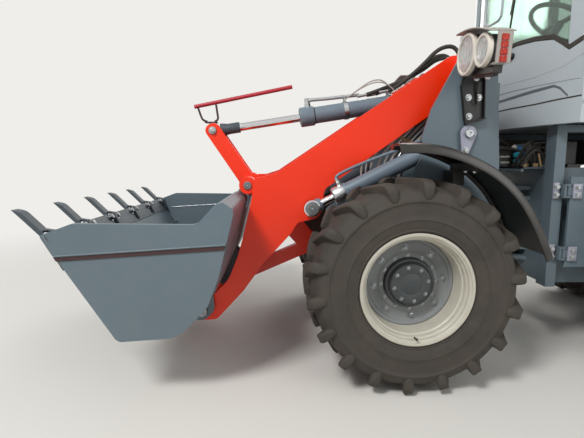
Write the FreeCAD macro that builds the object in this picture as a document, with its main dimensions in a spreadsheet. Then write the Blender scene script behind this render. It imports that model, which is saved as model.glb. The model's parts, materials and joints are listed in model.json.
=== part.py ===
import FreeCAD, Part
import math
import os

import Sketcher  # the sketch objects below need it loaded

# An articulated wheel loader of the two-tonne class, in millimetres.
# +X runs forwards, +Y to the machine's left and +Z up from the ground.
# The origin lies on the ground in the middle of the machine's length and width.

Vector = FreeCAD.Vector
Placement = FreeCAD.Placement
Rotation = FreeCAD.Rotation

os.makedirs("parts", exist_ok=True)
doc = FreeCAD.newDocument("wheel_loader")

# Driving sizes: name, value in millimetres or degrees, what it is
SIZES = [
    ("front_axle_x", 685, "front axle ahead of the origin"),
    ("wheelbase", 2050, "front axle to rear axle"),
    ("pivot_back", 800, "articulation pivot behind the front axle"),
    ("tyre_radius", 545, "tyre out to the tips of its lugs"),
    ("tyre_width", 410, "section width of a tyre"),
    ("lug_height", 32, "lug above the carcass"),
    ("lug_width", 46, "lug across its bar"),
    ("lug_pitch_deg", 20, "angle between lugs on one side"),
    ("wheel_y", 710, "middle of a tyre from the centre line"),
    ("rim_radius", 277, "rim flange"),
    ("hub_radius", 128, "planetary hub"),
    ("hub_face", 795, "outer face of a hub from the centre line"),
    ("spindle_radius", 45, "spindle in a hub"),
    ("axle_radius", 70, "axle tube"),
    ("axle_end", 596, "end of an axle housing from the centre line"),
    ("fit", 0.05, "radial clearance of a pin in its bore"),
    ("running_gap", 6, "side clearance between moving pieces"),
    ("frame_plate", 20, "thickness of the frame plates"),
    ("tower_inner", 235, "inner tower plate from the centre line"),
    ("tower_outer", 455, "outer tower plate from the centre line"),
    ("boom_inner", 295, "inner face of a boom arm"),
    ("boom_thick", 40, "thickness of a boom arm"),
    ("boom_pin_radius", 35, "pivot pin of the boom"),
    ("boom_boss_radius", 72, "boss round the boom's pivot"),
    ("bucket_pin_radius", 28, "pin between boom and bucket"),
    ("bucket_sleeve_radius", 68, "sleeve on a bucket pin between the boom arms"),
    ("rocker_pin_radius", 26, "pin of the rocker"),
    ("rocker_boss_radius", 74, "boss on the rocker's pin between its plates"),
    ("rocker_shaft_radius", 52, "cross shaft of the rocker outside its brackets"),
    ("link_pin_radius", 24, "pin between link and bucket"),
    ("rocker_inner", 55, "inner face of a rocker plate"),
    ("rocker_thick", 25, "thickness of a rocker plate"),
    ("rocker_bracket_inner", 88, "inner face of the rocker's bracket plates"),
    ("cross_tube_radius", 84, "cross tube between the boom arms"),
    ("bucket_half_width", 950, "half the width of the bucket"),
    ("bucket_side", 16, "thickness of a bucket side"),
    ("bucket_wall", 12, "thickness of the bucket's shell"),
    ("ear_thick", 20, "thickness of a bucket ear"),
    ("tooth_width", 56, "width of a bucket tooth"),
    ("tooth_edge", 57.5, "middle of an outer tooth from the bucket's side"),
    ("lift_y", 395, "lift cylinder from the centre line"),
    ("lift_tube_radius", 47, "lift cylinder tube"),
    ("lift_rod_radius", 24, "lift cylinder rod"),
    ("lift_pin_radius", 24, "rear pin of a lift cylinder"),
    ("tilt_tube_radius", 54, "tilt cylinder tube"),
    ("tilt_gland_radius", 61, "gland of the tilt cylinder"),
    ("tilt_rod_radius", 26, "tilt cylinder rod"),
    ("tilt_pin_radius", 28, "rear pin of the tilt cylinder"),
    ("eye_width", 80, "width of a cylinder's eye"),
    ("steer_tube_radius", 32, "steering cylinder tube"),
    ("steer_rod_radius", 16, "steering cylinder rod"),
    ("steer_pin_radius", 16, "pin of a steering cylinder"),
    ("pivot_pin_radius", 38, "articulation pin"),
    ("pivot_lug_radius", 92, "lugs round the articulation pin"),
    ("fender_sheet", 10, "thickness of a fender"),
    ("fender_inner", 520, "inner edge of a front fender"),
    ("fender_outer", 920, "outer edge of a fender"),
    ("lamp_radius", 105, "large headlamp"),
    ("small_lamp_radius", 78, "small headlamp"),
    ("cab_half_width", 650, "half the width of the cab"),
    ("cab_length", 1050, "cab from nose corners to rear wall"),
    ("cab_wall", 40, "thickness of the cab's walls"),
    ("cab_floor_z", 1420, "top of the cab floor"),
    ("cab_sill_z", 1770, "window sill of the cab"),
    ("cab_head_z", 2640, "top of the cab windows"),
    ("cab_top_z", 2700, "underside of the roof"),
    ("roof_height", 150, "height of the roof"),
    ("glass_thick", 6, "thickness of the glass"),
    ("door_gap", 6, "gap round a door, hatch or hood"),
    ("hood_half_width", 500, "half the width of the hood"),
    ("hood_wall", 25, "thickness of the hood's walls"),
    ("hood_top_z", 1780, "top of the hood"),
    ("hood_base_z", 1060, "lower edge of the hood"),
    ("weight_half_width", 750, "half the width of the counterweight"),
    ("weight_depth", 400, "length of the counterweight"),
    ("tail_back", 1200, "tail of the machine behind the rear axle"),
    ("rear_plate_y", 365, "inner face of a rear frame plate"),
    ("post_y", 440, "middle of a front post of the rear frame"),
    ("post_size", 70, "width of a frame post"),
]
sheet = doc.addObject("Spreadsheet::Sheet", "Sizes")
for row, (alias, value, note) in enumerate(SIZES, start=1):
    sheet.set(f"A{row}", alias)
    sheet.set(f"B{row}", str(value))
    sheet.set(f"C{row}", note)
    sheet.setAlias(f"B{row}", alias)
doc.recompute()


class Size:
    """A value from the sheet, or one worked out from such values, with its expression."""

    def __init__(self, value, text):
        self.value = float(value)
        self.text = text

    def join(self, other, sign, swap=False):
        other = other if isinstance(other, Size) else Size(other, repr(float(other)))
        first, second = (other, self) if swap else (self, other)
        work = {
            "+": first.value + second.value,
            "-": first.value - second.value,
            "*": first.value * second.value,
            "/": first.value / second.value if second.value else 0.0,
        }
        return Size(work[sign], f"({first.text} {sign} {second.text})")

    def __add__(self, other):
        return self.join(other, "+")

    def __radd__(self, other):
        return self.join(other, "+", swap=True)

    def __sub__(self, other):
        return self.join(other, "-")

    def __rsub__(self, other):
        return self.join(other, "-", swap=True)

    def __mul__(self, other):
        return self.join(other, "*")

    def __rmul__(self, other):
        return self.join(other, "*", swap=True)

    def __truediv__(self, other):
        return self.join(other, "/")

    def __neg__(self):
        return self.join(-1, "*")

    def __float__(self):
        return self.value


class Names:
    """The sheet's values under their own names."""


s = Names()
for alias, value, note in SIZES:
    setattr(s, alias, Size(sheet.get(alias), f"Sizes.{alias}"))

# Heights are drawn for an axle this far above the ground and follow the tyre
DRAWN_AXLE_Z = 545
# The cab's bows are drawn for this half width and grow with it
DRAWN_CAB_HALF = 650
SIDES = (1, -1)
SIDE_NAMES = {1: "left", -1: "right"}


def fx(distance):
    """A place measured forwards from the front axle."""
    return s.front_axle_x + distance


def px(distance):
    """A place measured forwards from the articulation pivot."""
    return s.front_axle_x - s.pivot_back + distance


def rx(distance):
    """A place measured forwards from the rear axle."""
    return s.front_axle_x - s.wheelbase + distance


def up(height):
    """A height above the ground on the drawn tyres, carried by the real ones."""
    return s.tyre_radius - DRAWN_AXLE_Z + height


def span(side, inner, outer):
    """The lower and upper y of a piece between two distances from the centre line."""
    return (inner, outer) if side > 0 else (-outer, -inner)


def bind(thing, name, value):
    """Set a property, by expression where the value comes from the sheet."""
    if isinstance(value, Size):
        thing.setExpression(name, value.text)
    else:
        setattr(thing, name, value)


def place(thing, x, y, z, rotation=None):
    """Place an object, with each coordinate bound to the sheet where it comes from it."""
    thing.Placement = Placement(Vector(float(x), float(y), float(z)), rotation or Rotation())
    for letter, value in (("x", x), ("y", y), ("z", z)):
        if isinstance(value, Size):
            thing.setExpression(f".Placement.Base.{letter}", value.text)
    return thing


def new(kind, name):
    return doc.addObject(kind, name)


def numbers(points):
    """Outline points as plain numbers: x, y and corner radius."""
    return [(float(p[0]), float(p[1]), float(p[2]) if len(p) > 2 else 0.0) for p in points]


def rounded(points):
    """Lines and arcs round a closed outline whose corners may have a radius."""
    points = numbers(points)
    entries = []
    for index, (x, y, radius) in enumerate(points):
        corner = Vector(x, y, 0)
        before = Vector(*points[index - 1][:2], 0) - corner
        after = Vector(*points[(index + 1) % len(points)][:2], 0) - corner
        before.normalize()
        after.normalize()
        half = before.getAngle(after) / 2
        if radius <= 0 or abs(half - math.pi / 2) < 1e-6:
            entries.append((corner, corner, None))
            continue
        reach = radius / math.tan(half)
        middle = before + after
        middle.normalize()
        top = corner + middle * (radius / math.sin(half) - radius)
        entries.append((corner + before * reach, corner + after * reach, top))
    edges = []
    for index, (start, end, top) in enumerate(entries):
        if top is not None:
            edges.append(Part.Arc(start, top, end))
        following = entries[(index + 1) % len(entries)][0]
        if (following - end).Length > 1e-6:
            edges.append(Part.LineSegment(end, following))
    return edges


def strip(path, thick):
    """The outline of a plate that follows an open path, thick towards the path's left."""
    points = numbers(path)
    inner = []
    for index, (x, y, radius) in enumerate(points):
        here = Vector(x, y, 0)
        normals = []
        for a, b in ((index - 1, index), (index, index + 1)):
            if a < 0 or b >= len(points):
                continue
            run = Vector(*points[b][:2], 0) - Vector(*points[a][:2], 0)
            run.normalize()
            normals.append(Vector(-run.y, run.x, 0))
        normal = normals[0] if len(normals) == 1 else normals[0] + normals[1]
        normal.normalize()
        reach = float(thick) / normal.dot(normals[0])
        offset = here + normal * reach
        turn = 0.0
        if len(normals) == 2:
            turn = normals[0].cross(normals[1]).z
        inner_radius = radius + float(thick) * (1 if turn < 0 else -1) if radius else 0.0
        inner.append((offset.x, offset.y, max(inner_radius, 0.0)))
    return points + inner[::-1]


def sketch(name, outline, holes=()):
    """A free sketch of one closed outline with round holes."""
    drawing = new("Sketcher::SketchObject", name)
    for edge in rounded(outline):
        drawing.addGeometry(edge, False)
    for x, y, radius in numbers(holes):
        drawing.addGeometry(Part.Circle(Vector(x, y, 0), Vector(0, 0, 1), radius), False)
    return drawing


def extrude(name, drawing, direction, length):
    """A solid pulled from a sketch."""
    solid = new("Part::Extrusion", name)
    solid.Base = drawing
    solid.DirMode = "Custom"
    solid.Dir = direction
    bind(solid, "LengthFwd", length)
    solid.Solid = True
    solid.FaceMakerClass = "Part::FaceMakerBullseye"
    return solid


def plate(name, outline, y_low, y_high, holes=()):
    """A plate whose outline is seen from the side."""
    drawing = sketch(name + "_sketch", outline, holes)
    place(drawing, 0, y_low, 0, Rotation(Vector(1, 0, 0), 90))
    return extrude(name, drawing, Vector(0, 1, 0), y_high - y_low)


def slab(name, outline, z_low, z_high, holes=()):
    """A plate whose outline is seen from above."""
    drawing = sketch(name + "_sketch", outline, holes)
    place(drawing, 0, 0, z_low)
    return extrude(name, drawing, Vector(0, 0, 1), z_high - z_low)


def box(name, x, y, z):
    """A block between the two limits given along each axis."""
    block = new("Part::Box", name)
    bind(block, "Length", x[1] - x[0])
    bind(block, "Width", y[1] - y[0])
    bind(block, "Height", z[1] - z[0])
    return place(block, x[0], y[0], z[0])


TURNS = {
    "x": Rotation(Vector(0, 1, 0), 90),
    "y": Rotation(Vector(1, 0, 0), -90),
    "z": Rotation(),
}


def shaft(name, axis, low, high, at, radius):
    """A round bar along an axis from low to high; at gives its other two coordinates."""
    bar = new("Part::Cylinder", name)
    bind(bar, "Radius", radius)
    bind(bar, "Height", high - low)
    x, y, z = {
        "x": (low, at[0], at[1]),
        "y": (at[0], low, at[1]),
        "z": (at[0], at[1], low),
    }[axis]
    return place(bar, x, y, z, TURNS[axis])


def aimed(name, start, end, radius, begin=0, stop=None):
    """A round bar on the line from start to end, from begin to stop along it."""
    first = Vector(*[float(v) for v in start])
    line = Vector(*[float(v) for v in end]) - first
    stop = line.Length if stop is None else float(stop)
    line.normalize()
    bar = new("Part::Cylinder", name)
    bind(bar, "Radius", radius)
    bar.Height = stop - float(begin)
    bar.Placement = Placement(first + line * float(begin), Rotation(Vector(0, 0, 1), line))
    return bar


def revolve(name, outline, x, y, z, rotation=None):
    """A solid turned about the local Z axis from a half section of radius and height."""
    drawing = sketch(name + "_sketch", outline)
    place(drawing, 0, 0, 0, Rotation(Vector(1, 0, 0), 90))
    solid = new("Part::Revolution", name)
    solid.Source = drawing
    solid.Axis = Vector(0, 0, 1)
    solid.Base = Vector(0, 0, 0)
    solid.Angle = 360
    solid.Solid = True
    moved = new("Part::Compound", name + "_placed")
    moved.Links = [solid]
    return place(moved, x, y, z, rotation)


def fuse(name, pieces):
    pieces = list(pieces)
    if len(pieces) == 1:
        return pieces[0]
    joined = new("Part::MultiFuse", name)
    joined.Shapes = pieces
    joined.Refine = True
    return joined


def cut(name, base, tools):
    result = new("Part::Cut", name)
    result.Base = base
    result.Tool = fuse(name + "_tools", tools)
    return result


NODES = []


def node(name, pieces):
    """Join the pieces of one sub-part and keep it for export under its name."""
    part = fuse(name, pieces)
    part.Label = name
    NODES.append(part)
    return part

# Pins and joints of the linkage, as distances from the front axle and heights
BOOM_PIVOT = (fx(-420), up(1700))
BUCKET_PIN = (fx(1146), up(258))
LINK_PIN = (fx(950), up(392))
ROCKER_PIN = (fx(863), up(1021))
ROCKER_TOP = (fx(1100), up(1365))
ROCKER_FOOT = (fx(456), up(605))
TILT_BASE = (fx(-382), up(1597))
LIFT_FRONT = (fx(479), up(895))
LIFT_BASE = (fx(-385), up(1320))
STEER_Z = up(700)
STEER_REAR = (px(-330), 165)
STEER_FRONT = (px(165), 205)


def tyre_shape():
    """One flat-faced tyre about the Y axis, with its two rows of slanted lugs."""
    facets = 36
    half = float(s.tyre_width) / 2
    carcass = float(s.tyre_radius) - float(s.lug_height)
    bead = float(s.rim_radius) - 12
    # Half section: distance from the middle plane and radius
    section = [(half * 0.62, bead), (half * 0.9, bead + 50), (half, bead + 130),
               (half * 0.95, carcass - 40), (half * 0.55, carcass - 4), (0, carcass)]
    section = section + [(-y, r) for y, r in reversed(section[:-1])]
    rings = []
    for turn in range(facets):
        angle = 2 * math.pi * turn / facets
        rings.append([Vector(r * math.cos(angle), y, r * math.sin(angle)) for y, r in section])
    faces = []
    count = len(section)
    for turn in range(facets):
        here, there = rings[turn], rings[(turn + 1) % facets]
        for index in range(count):
            after = (index + 1) % count
            corners = [here[index], here[after], there[after], there[index], here[index]]
            faces.append(Part.Face(Part.makePolygon(corners)))
    body = Part.Solid(Part.Shell(faces))
    if body.Volume < 0:
        body.reverse()
    lug = lug_shape(half, carcass)
    lugs = []
    for turn in range(int(360 / float(s.lug_pitch_deg))):
        for side in SIDES:
            copy = lug.copy()
            if side < 0:
                copy = copy.mirror(Vector(0, 0, 0), Vector(0, 1, 0))
            stagger = 0.25 * side * float(s.lug_pitch_deg)
            copy.rotate(Vector(0, 0, 0), Vector(0, 1, 0), turn * float(s.lug_pitch_deg) + stagger)
            lugs.append(copy)
    return body.fuse(lugs)


def lug_shape(half, carcass):
    """One lug: a slanted bar from the middle of the tread over its shoulder."""
    tip = float(s.tyre_radius) - 7
    width = float(s.lug_width)
    # Along the bar: distance from its inner end, then radius
    profile = [(0, carcass - 30), (0, tip - 4), (half * 0.88, tip), (half * 1.12, tip - 26),
               (half * 1.17, carcass - 62), (half * 0.9, carcass - 62)]
    points = [Vector(0, y, r) for y, r in profile]
    face = Part.Face(Part.makePolygon(points + points[:1]))
    bar = face.extrude(Vector(width, 0, 0))
    bar.translate(Vector(-width / 2, -8, 0))
    slant = 33
    bar.rotate(Vector(0, 0, 0), Vector(0, 0, 1), slant)
    bar.translate(Vector(half * 0.55 * math.sin(math.radians(slant)), 0, 0))
    return bar


def wheels():
    """Four tyres, and four rims with their planetary hubs."""
    master = new("Part::Feature", "tyre_master")
    master.Shape = tyre_shape()
    flange = s.rim_radius
    half = s.tyre_width / 2
    for end, x in (("front", fx(0)), ("rear", rx(0))):
        for side in SIDES:
            place_name = f"{end}_{SIDE_NAMES[side]}"
            tyre = new("Part::Compound", "tyre_" + place_name + "_copy")
            tyre.Links = [master]
            place(tyre, x, s.wheel_y * side, s.tyre_radius)
            node("tyre_" + place_name, [tyre])
            # Half section of the rim and hub from the wheel's middle plane outwards
            face = s.hub_face - s.wheel_y
            inner = s.axle_end + s.running_gap - s.wheel_y
            rim = [
                (s.spindle_radius + s.fit, inner),
                (s.hub_radius + 12, inner),
                (s.hub_radius + 12, 10),
                (flange - 58, 2),
                (flange - 34, -30),
                (flange - 30, 13 - half),
                (flange - 14, 5 - half),
                (flange - 14, 55 - half),
                (flange - 16, -half * 0.4),
                (flange - 16, half - 60),
                (flange - 16, half - 45),
                (flange, half - 30),
                (flange + 4, half - 18, 5),
                (flange - 8, half - 12),
                (flange - 22, half - 26),
                (flange - 28, half - 60),
                (flange - 30, 30),
                (flange - 62, 16),
                (s.hub_radius + 26, 24),
                (s.hub_radius, 26),
                (s.hub_radius - 4, face - 22),
                (s.hub_radius - 22, face - 4, 8),
                (0, face),
                (0, face - 20),
                (s.spindle_radius + s.fit, face - 20),
            ]
            turn = Rotation(Vector(1, 0, 0), -90 * side)
            solid = revolve("rim_" + place_name + "_turned", rim, x, s.wheel_y * side,
                            s.tyre_radius, turn)
            node("rim_" + place_name, [solid])


def axle(name, x):
    """A rigid axle housing with its spindles and the pads that carry the frame."""
    z = s.tyre_radius
    tube = shaft(name + "_tube", "y", -s.axle_end + 20, s.axle_end - 20, (x, z), s.axle_radius)
    ball = new("Part::Sphere", name + "_case")
    ball.Radius = 150
    place(ball, x, 0, z)
    nose = shaft(name + "_nose", "x", x - 200, x + 200, (0, z), 62)
    parts = [tube, ball, nose]
    for side in SIDES:
        tag = f"{name}_{SIDE_NAMES[side]}"
        low, high = span(side, s.axle_end - 20, s.axle_end)
        parts.append(shaft(tag + "_flange", "y", low, high, (x, z), s.hub_radius))
        low, high = span(side, s.axle_end, s.hub_face - 30)
        parts.append(shaft(tag + "_spindle", "y", low, high, (x, z), s.spindle_radius))
        low, high = span(side, s.tower_inner - 30, s.tower_inner + 80)
        parts.append(box(tag + "_pad", (x - 95, x + 95), (low, high), (z, z + s.axle_radius + 25)))
    return node(name, parts)


def front_chassis():
    """Front frame: two pairs of tower plates on a box, with the lugs of the pivot."""
    thick = s.frame_plate
    pad = s.tyre_radius + s.axle_radius + 25
    parts = []
    inner_plate = [
        (fx(-565), up(560)), (fx(-160), up(560)), (fx(-130), pad), (fx(330), pad),
        (fx(330), up(820), 40), (fx(60), up(1010), 60), (fx(-230), up(1560), 60),
        (fx(-340), up(1790), 30), (fx(-480), up(1790), 50), (fx(-565), up(1620)),
    ]
    outer_plate = [
        (fx(-565), up(880)), (fx(-70), up(880), 30), (fx(-60), up(1040), 60),
        (fx(-153), up(1231), 30), (fx(-128), up(1287), 20), (fx(-178), up(1453)),
        (fx(-317), up(1720)), (fx(-345), up(1800), 30), (fx(-470), up(1790), 50),
        (fx(-540), up(1644), 40), (fx(-580), up(1146)),
    ]
    for side in SIDES:
        tag = "front_" + SIDE_NAMES[side]
        low, high = span(side, s.tower_inner, s.tower_inner + thick)
        parts.append(plate(tag + "_inner", inner_plate, low, high))
        low, high = span(side, s.tower_outer, s.tower_outer + thick)
        parts.append(plate(tag + "_outer", outer_plate, low, high))
        low, high = span(side, s.tower_inner + thick, s.tower_outer)
        parts.append(box(tag + "_shelf", (fx(-565), fx(-80)), (low, high), (up(880), up(895))))
        parts.append(box(tag + "_back", (fx(-565), fx(-550)), (low, high), (up(895), up(1600))))
        low, high = span(side, s.tower_inner + thick, s.tower_outer + thick + 12)
        parts.append(shaft(tag + "_boom_pin", "y", low, high, BOOM_PIVOT, s.boom_pin_radius))
        parts.append(shaft(tag + "_lift_pin", "y", low, high, LIFT_BASE, s.lift_pin_radius))
        ear_inner = s.tilt_tube_radius + s.running_gap
        low, high = span(side, ear_inner, ear_inner + s.ear_thick)
        ear = [(fx(-500), up(1480)), (fx(-400), up(1520), 20), (fx(-330), up(1560), 30),
               (fx(-330), up(1650), 50), (fx(-430), up(1670), 30), (fx(-500), up(1700))]
        parts.append(plate(tag + "_tilt_ear", ear, low, high))
    parts.append(box("front_floor", (fx(-565), fx(-215)), (-s.tower_inner, s.tower_inner),
                     (up(560), up(580))))
    parts.append(box("front_deck", (fx(-565), fx(330)), (-s.tower_inner, s.tower_inner),
                     (up(760), up(780))))
    parts.append(box("front_nose", (fx(310), fx(330)), (-s.tower_inner, s.tower_inner),
                     (pad, up(820))))
    # The wall stays open at the height where the steering cylinders pass through it
    for name, z in (("lower", (up(580), STEER_Z - 38)), ("upper", (STEER_Z + 38, up(1100)))):
        parts.append(box("front_rear_wall_" + name, (fx(-565), fx(-545)),
                         (-s.tower_inner, s.tower_inner), z))
    parts.append(box("tower_tie", (fx(-520), fx(-490)), (-s.tower_inner, s.tower_inner),
                     (up(1470), up(1710))))
    reach = s.tilt_tube_radius + s.running_gap + s.ear_thick + 8
    parts.append(shaft("tilt_base_pin", "y", -reach, reach, TILT_BASE, s.tilt_pin_radius))
    # Two lugs of the articulation, bored for its pin
    for name, z in (("upper", up(950)), ("lower", up(560))):
        lug = [(fx(-565), -s.tower_inner), (fx(-565), s.tower_inner),
               (px(40), s.pivot_lug_radius, 20), (px(-1) - s.pivot_lug_radius, 92, 91),
               (px(-1) - s.pivot_lug_radius, -92, 91), (px(40), -s.pivot_lug_radius, 20)]
        hole = [(px(0), 0, s.pivot_pin_radius + s.fit)]
        parts.append(slab(f"pivot_{name}_lug", lug, z, z + 30, hole))
    for side in SIDES:
        for name, z in (("upper", STEER_Z + 38), ("lower", STEER_Z - 58)):
            x, y = STEER_FRONT
            low, high = span(side, y - 55, y + 45)
            parts.append(box(f"steer_{SIDE_NAMES[side]}_{name}", (x - 40, fx(-560)), (low, high),
                             (z, z + 20)))
    return node("front_chassis", parts)


def fenders():
    """Two mudguards on each frame, bent round the wheels."""
    share = s.tyre_radius / DRAWN_AXLE_Z
    # Path of a sheet ahead of and above the axle, with the radius of each bend
    front_path = [(116, 696), (60, 691, 60), (-220, 604, 500), (-576, 296, 200), (-651, 159)]
    rear_path = [(585, 255), (560, 415, 120), (330, 645, 160), (-330, 645, 160),
                 (-600, 395, 120), (-640, 155)]
    for name, x, drawn in (("front_fenders", fx(0), front_path), ("rear_fenders", rx(0), rear_path)):
        parts = []
        path = [(x + ahead * share, s.tyre_radius + above * share, *[bend * share for bend in bends])
                for ahead, above, *bends in drawn]
        inner = s.fender_inner if name == "front_fenders" else s.hood_half_width + 12
        for side in SIDES:
            tag = f"{name}_{SIDE_NAMES[side]}"
            low, high = span(side, inner, s.fender_outer)
            parts.append(plate(tag, strip(path, s.fender_sheet), low, high))
            lip_low, lip_high = span(side, s.fender_outer - 8, s.fender_outer)
            parts.append(plate(tag + "_lip", strip(path, 38), lip_low, lip_high))
            if name == "front_fenders":
                low, high = span(side, s.tower_outer + s.frame_plate, inner)
                parts.append(box(tag + "_stay", (fx(-330 * share), fx(-250 * share)), (low, high),
                                 (s.tyre_radius + 455 * share, s.tyre_radius + 585 * share)))
            else:
                low, high = span(side, s.rear_plate_y + s.frame_plate, inner + 20)
                parts.append(box(tag + "_front_stay", (x + 555 * share, x + 600 * share),
                                 (low, high), (up(820), up(870))))
                low, high = span(side, inner + 60, inner + 110)
                parts.append(box(tag + "_rear_stay", (TAIL_X + s.weight_depth, x - 615 * share),
                                 (low, high), (up(720), up(780))))
        node(name, parts)


def headlamps():
    """Twin headlamps on each side of the tower, and the brackets that hold them."""
    lamps, brackets = [], []
    # Lamp name, middle y, radius, height
    for side in SIDES:
        for name, y, radius in (("large", 620, s.lamp_radius), ("small", 800, s.small_lamp_radius)):
            tag = f"lamp_{SIDE_NAMES[side]}_{name}"
            at = (side * y, up(1720))
            lamps.append(shaft(tag + "_body", "x", fx(-430), fx(-330), at, radius - 14))
            lamps.append(shaft(tag + "_bezel", "x", fx(-335), fx(-310), at, radius))
        low, high = span(side, 560, 840)
        lamps.append(box(f"lamp_{SIDE_NAMES[side]}_case", (fx(-460), fx(-400)), (low, high),
                         (up(1650), up(1790))))
        low, high = span(side, s.tower_outer + s.frame_plate, 640)
        brackets.append(box(f"bracket_{SIDE_NAMES[side]}_arm", (fx(-462), fx(-432)), (low, high),
                            (up(1610), up(1650))))
        low, high = span(side, s.tower_outer + s.frame_plate, s.tower_outer + s.frame_plate + 10)
        outline = [(fx(-470), up(1400)), (fx(-360), up(1370), 20), (fx(-330), up(1580), 20),
                   (fx(-360), up(1650), 20), (fx(-460), up(1650), 20)]
        brackets.append(plate(f"bracket_{SIDE_NAMES[side]}_plate", outline, low, high))
    node("headlamps", lamps)
    node("lamp_brackets", brackets)


def boom():
    """Two cranked arms joined by a cross tube that carries the rocker's bracket."""
    outline = [
        (fx(-324), up(1772), 40), (fx(678), up(1104)), (fx(774), up(1074), 40),
        (fx(818), up(1070), 25), (fx(838), up(940), 60), (fx(895), up(700), 300),
        (fx(925), up(595), 200), (fx(985), up(445), 200), (fx(1095), up(336), 60),
        (fx(1212), up(318), 55), (fx(1212), up(188), 55), (fx(1062), up(194), 60),
        (fx(890), up(380), 80), (fx(776), up(540)), (fx(596), up(738), 60),
        (fx(560), up(800), 20), (fx(420), up(830), 70), (fx(400), up(1000), 60),
        (fx(-302), up(1496), 40), (fx(-480), up(1640), 90), (fx(-480), up(1790), 90),
    ]
    parts = []
    bucket_hole = [(BUCKET_PIN[0], BUCKET_PIN[1], s.bucket_pin_radius + s.fit)]
    pivot_hole = [(BOOM_PIVOT[0], BOOM_PIVOT[1], s.boom_pin_radius + s.fit)]
    for side in SIDES:
        tag = "boom_" + SIDE_NAMES[side]
        low, high = span(side, s.boom_inner, s.boom_inner + s.boom_thick)
        parts.append(plate(tag + "_arm", outline, low, high, bucket_hole + pivot_hole))
        low, high = span(side, s.tower_inner + s.frame_plate + s.running_gap,
                         s.tower_outer - s.running_gap)
        boss = shaft(tag + "_boss_outside", "y", low, high, BOOM_PIVOT, s.boom_boss_radius)
        bore = shaft(tag + "_boss_bore", "y", low, high, BOOM_PIVOT, s.boom_pin_radius + s.fit)
        parts.append(cut(tag + "_boss", boss, [bore]))
    bar = (fx(585), up(1015))
    parts.append(shaft("boom_cross_tube", "y", -s.boom_inner, s.boom_inner, bar,
                       s.cross_tube_radius))
    bracket = [(fx(545), up(970), 20), (fx(600), up(950), 20), (fx(845), up(972), 50),
               (fx(915), up(1010), 42), (fx(880), up(1080), 42), (fx(600), up(1085), 20),
               (fx(545), up(1060), 20)]
    hole = [(ROCKER_PIN[0], ROCKER_PIN[1], s.rocker_pin_radius + s.fit)]
    for side in SIDES:
        low, high = span(side, s.rocker_bracket_inner, s.rocker_bracket_inner + s.ear_thick)
        parts.append(plate(f"rocker_bracket_{SIDE_NAMES[side]}", bracket, low, high, hole))
    return node("boom", parts)


def pins():
    """The three sets of pins that turn with the linkage."""
    bucket = []
    sleeve_inner = s.rocker_inner + s.rocker_thick + 15
    for side in SIDES:
        tag = f"bucket_pin_{SIDE_NAMES[side]}"
        low, high = span(side, sleeve_inner, s.boom_inner + s.boom_thick + 35)
        bar = shaft(tag + "_bar", "y", low, high, BUCKET_PIN, s.bucket_pin_radius)
        low, high = span(side, sleeve_inner, s.boom_inner - 35)
        sleeve = shaft(tag + "_sleeve", "y", low, high, BUCKET_PIN, s.bucket_sleeve_radius)
        bucket.append(fuse(tag, [bar, sleeve]))
    node("bucket_pins", bucket)
    reach = s.boom_inner - s.running_gap
    turned = [shaft("rocker_pin_bar", "y", -reach, reach, ROCKER_PIN, s.rocker_pin_radius)]
    boss = s.rocker_inner - 3
    turned.append(shaft("rocker_pin_boss", "y", -boss, boss, ROCKER_PIN, s.rocker_boss_radius))
    face = s.rocker_bracket_inner + s.ear_thick + 2
    for side in SIDES:
        tag = "rocker_pin_" + SIDE_NAMES[side]
        low, high = span(side, face, face + 12)
        turned.append(shaft(tag + "_flange", "y", low, high, ROCKER_PIN,
                            s.rocker_shaft_radius + 12))
        low, high = span(side, face + 10, reach)
        turned.append(shaft(tag + "_shaft", "y", low, high, ROCKER_PIN, s.rocker_shaft_radius))
    node("rocker_pin", [fuse("rocker_shaft", turned)])
    reach = s.rocker_inner + s.ear_thick + 12
    node("link_pin", [shaft("link_pin_bar", "y", -reach, reach, LINK_PIN, s.link_pin_radius)])


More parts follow.
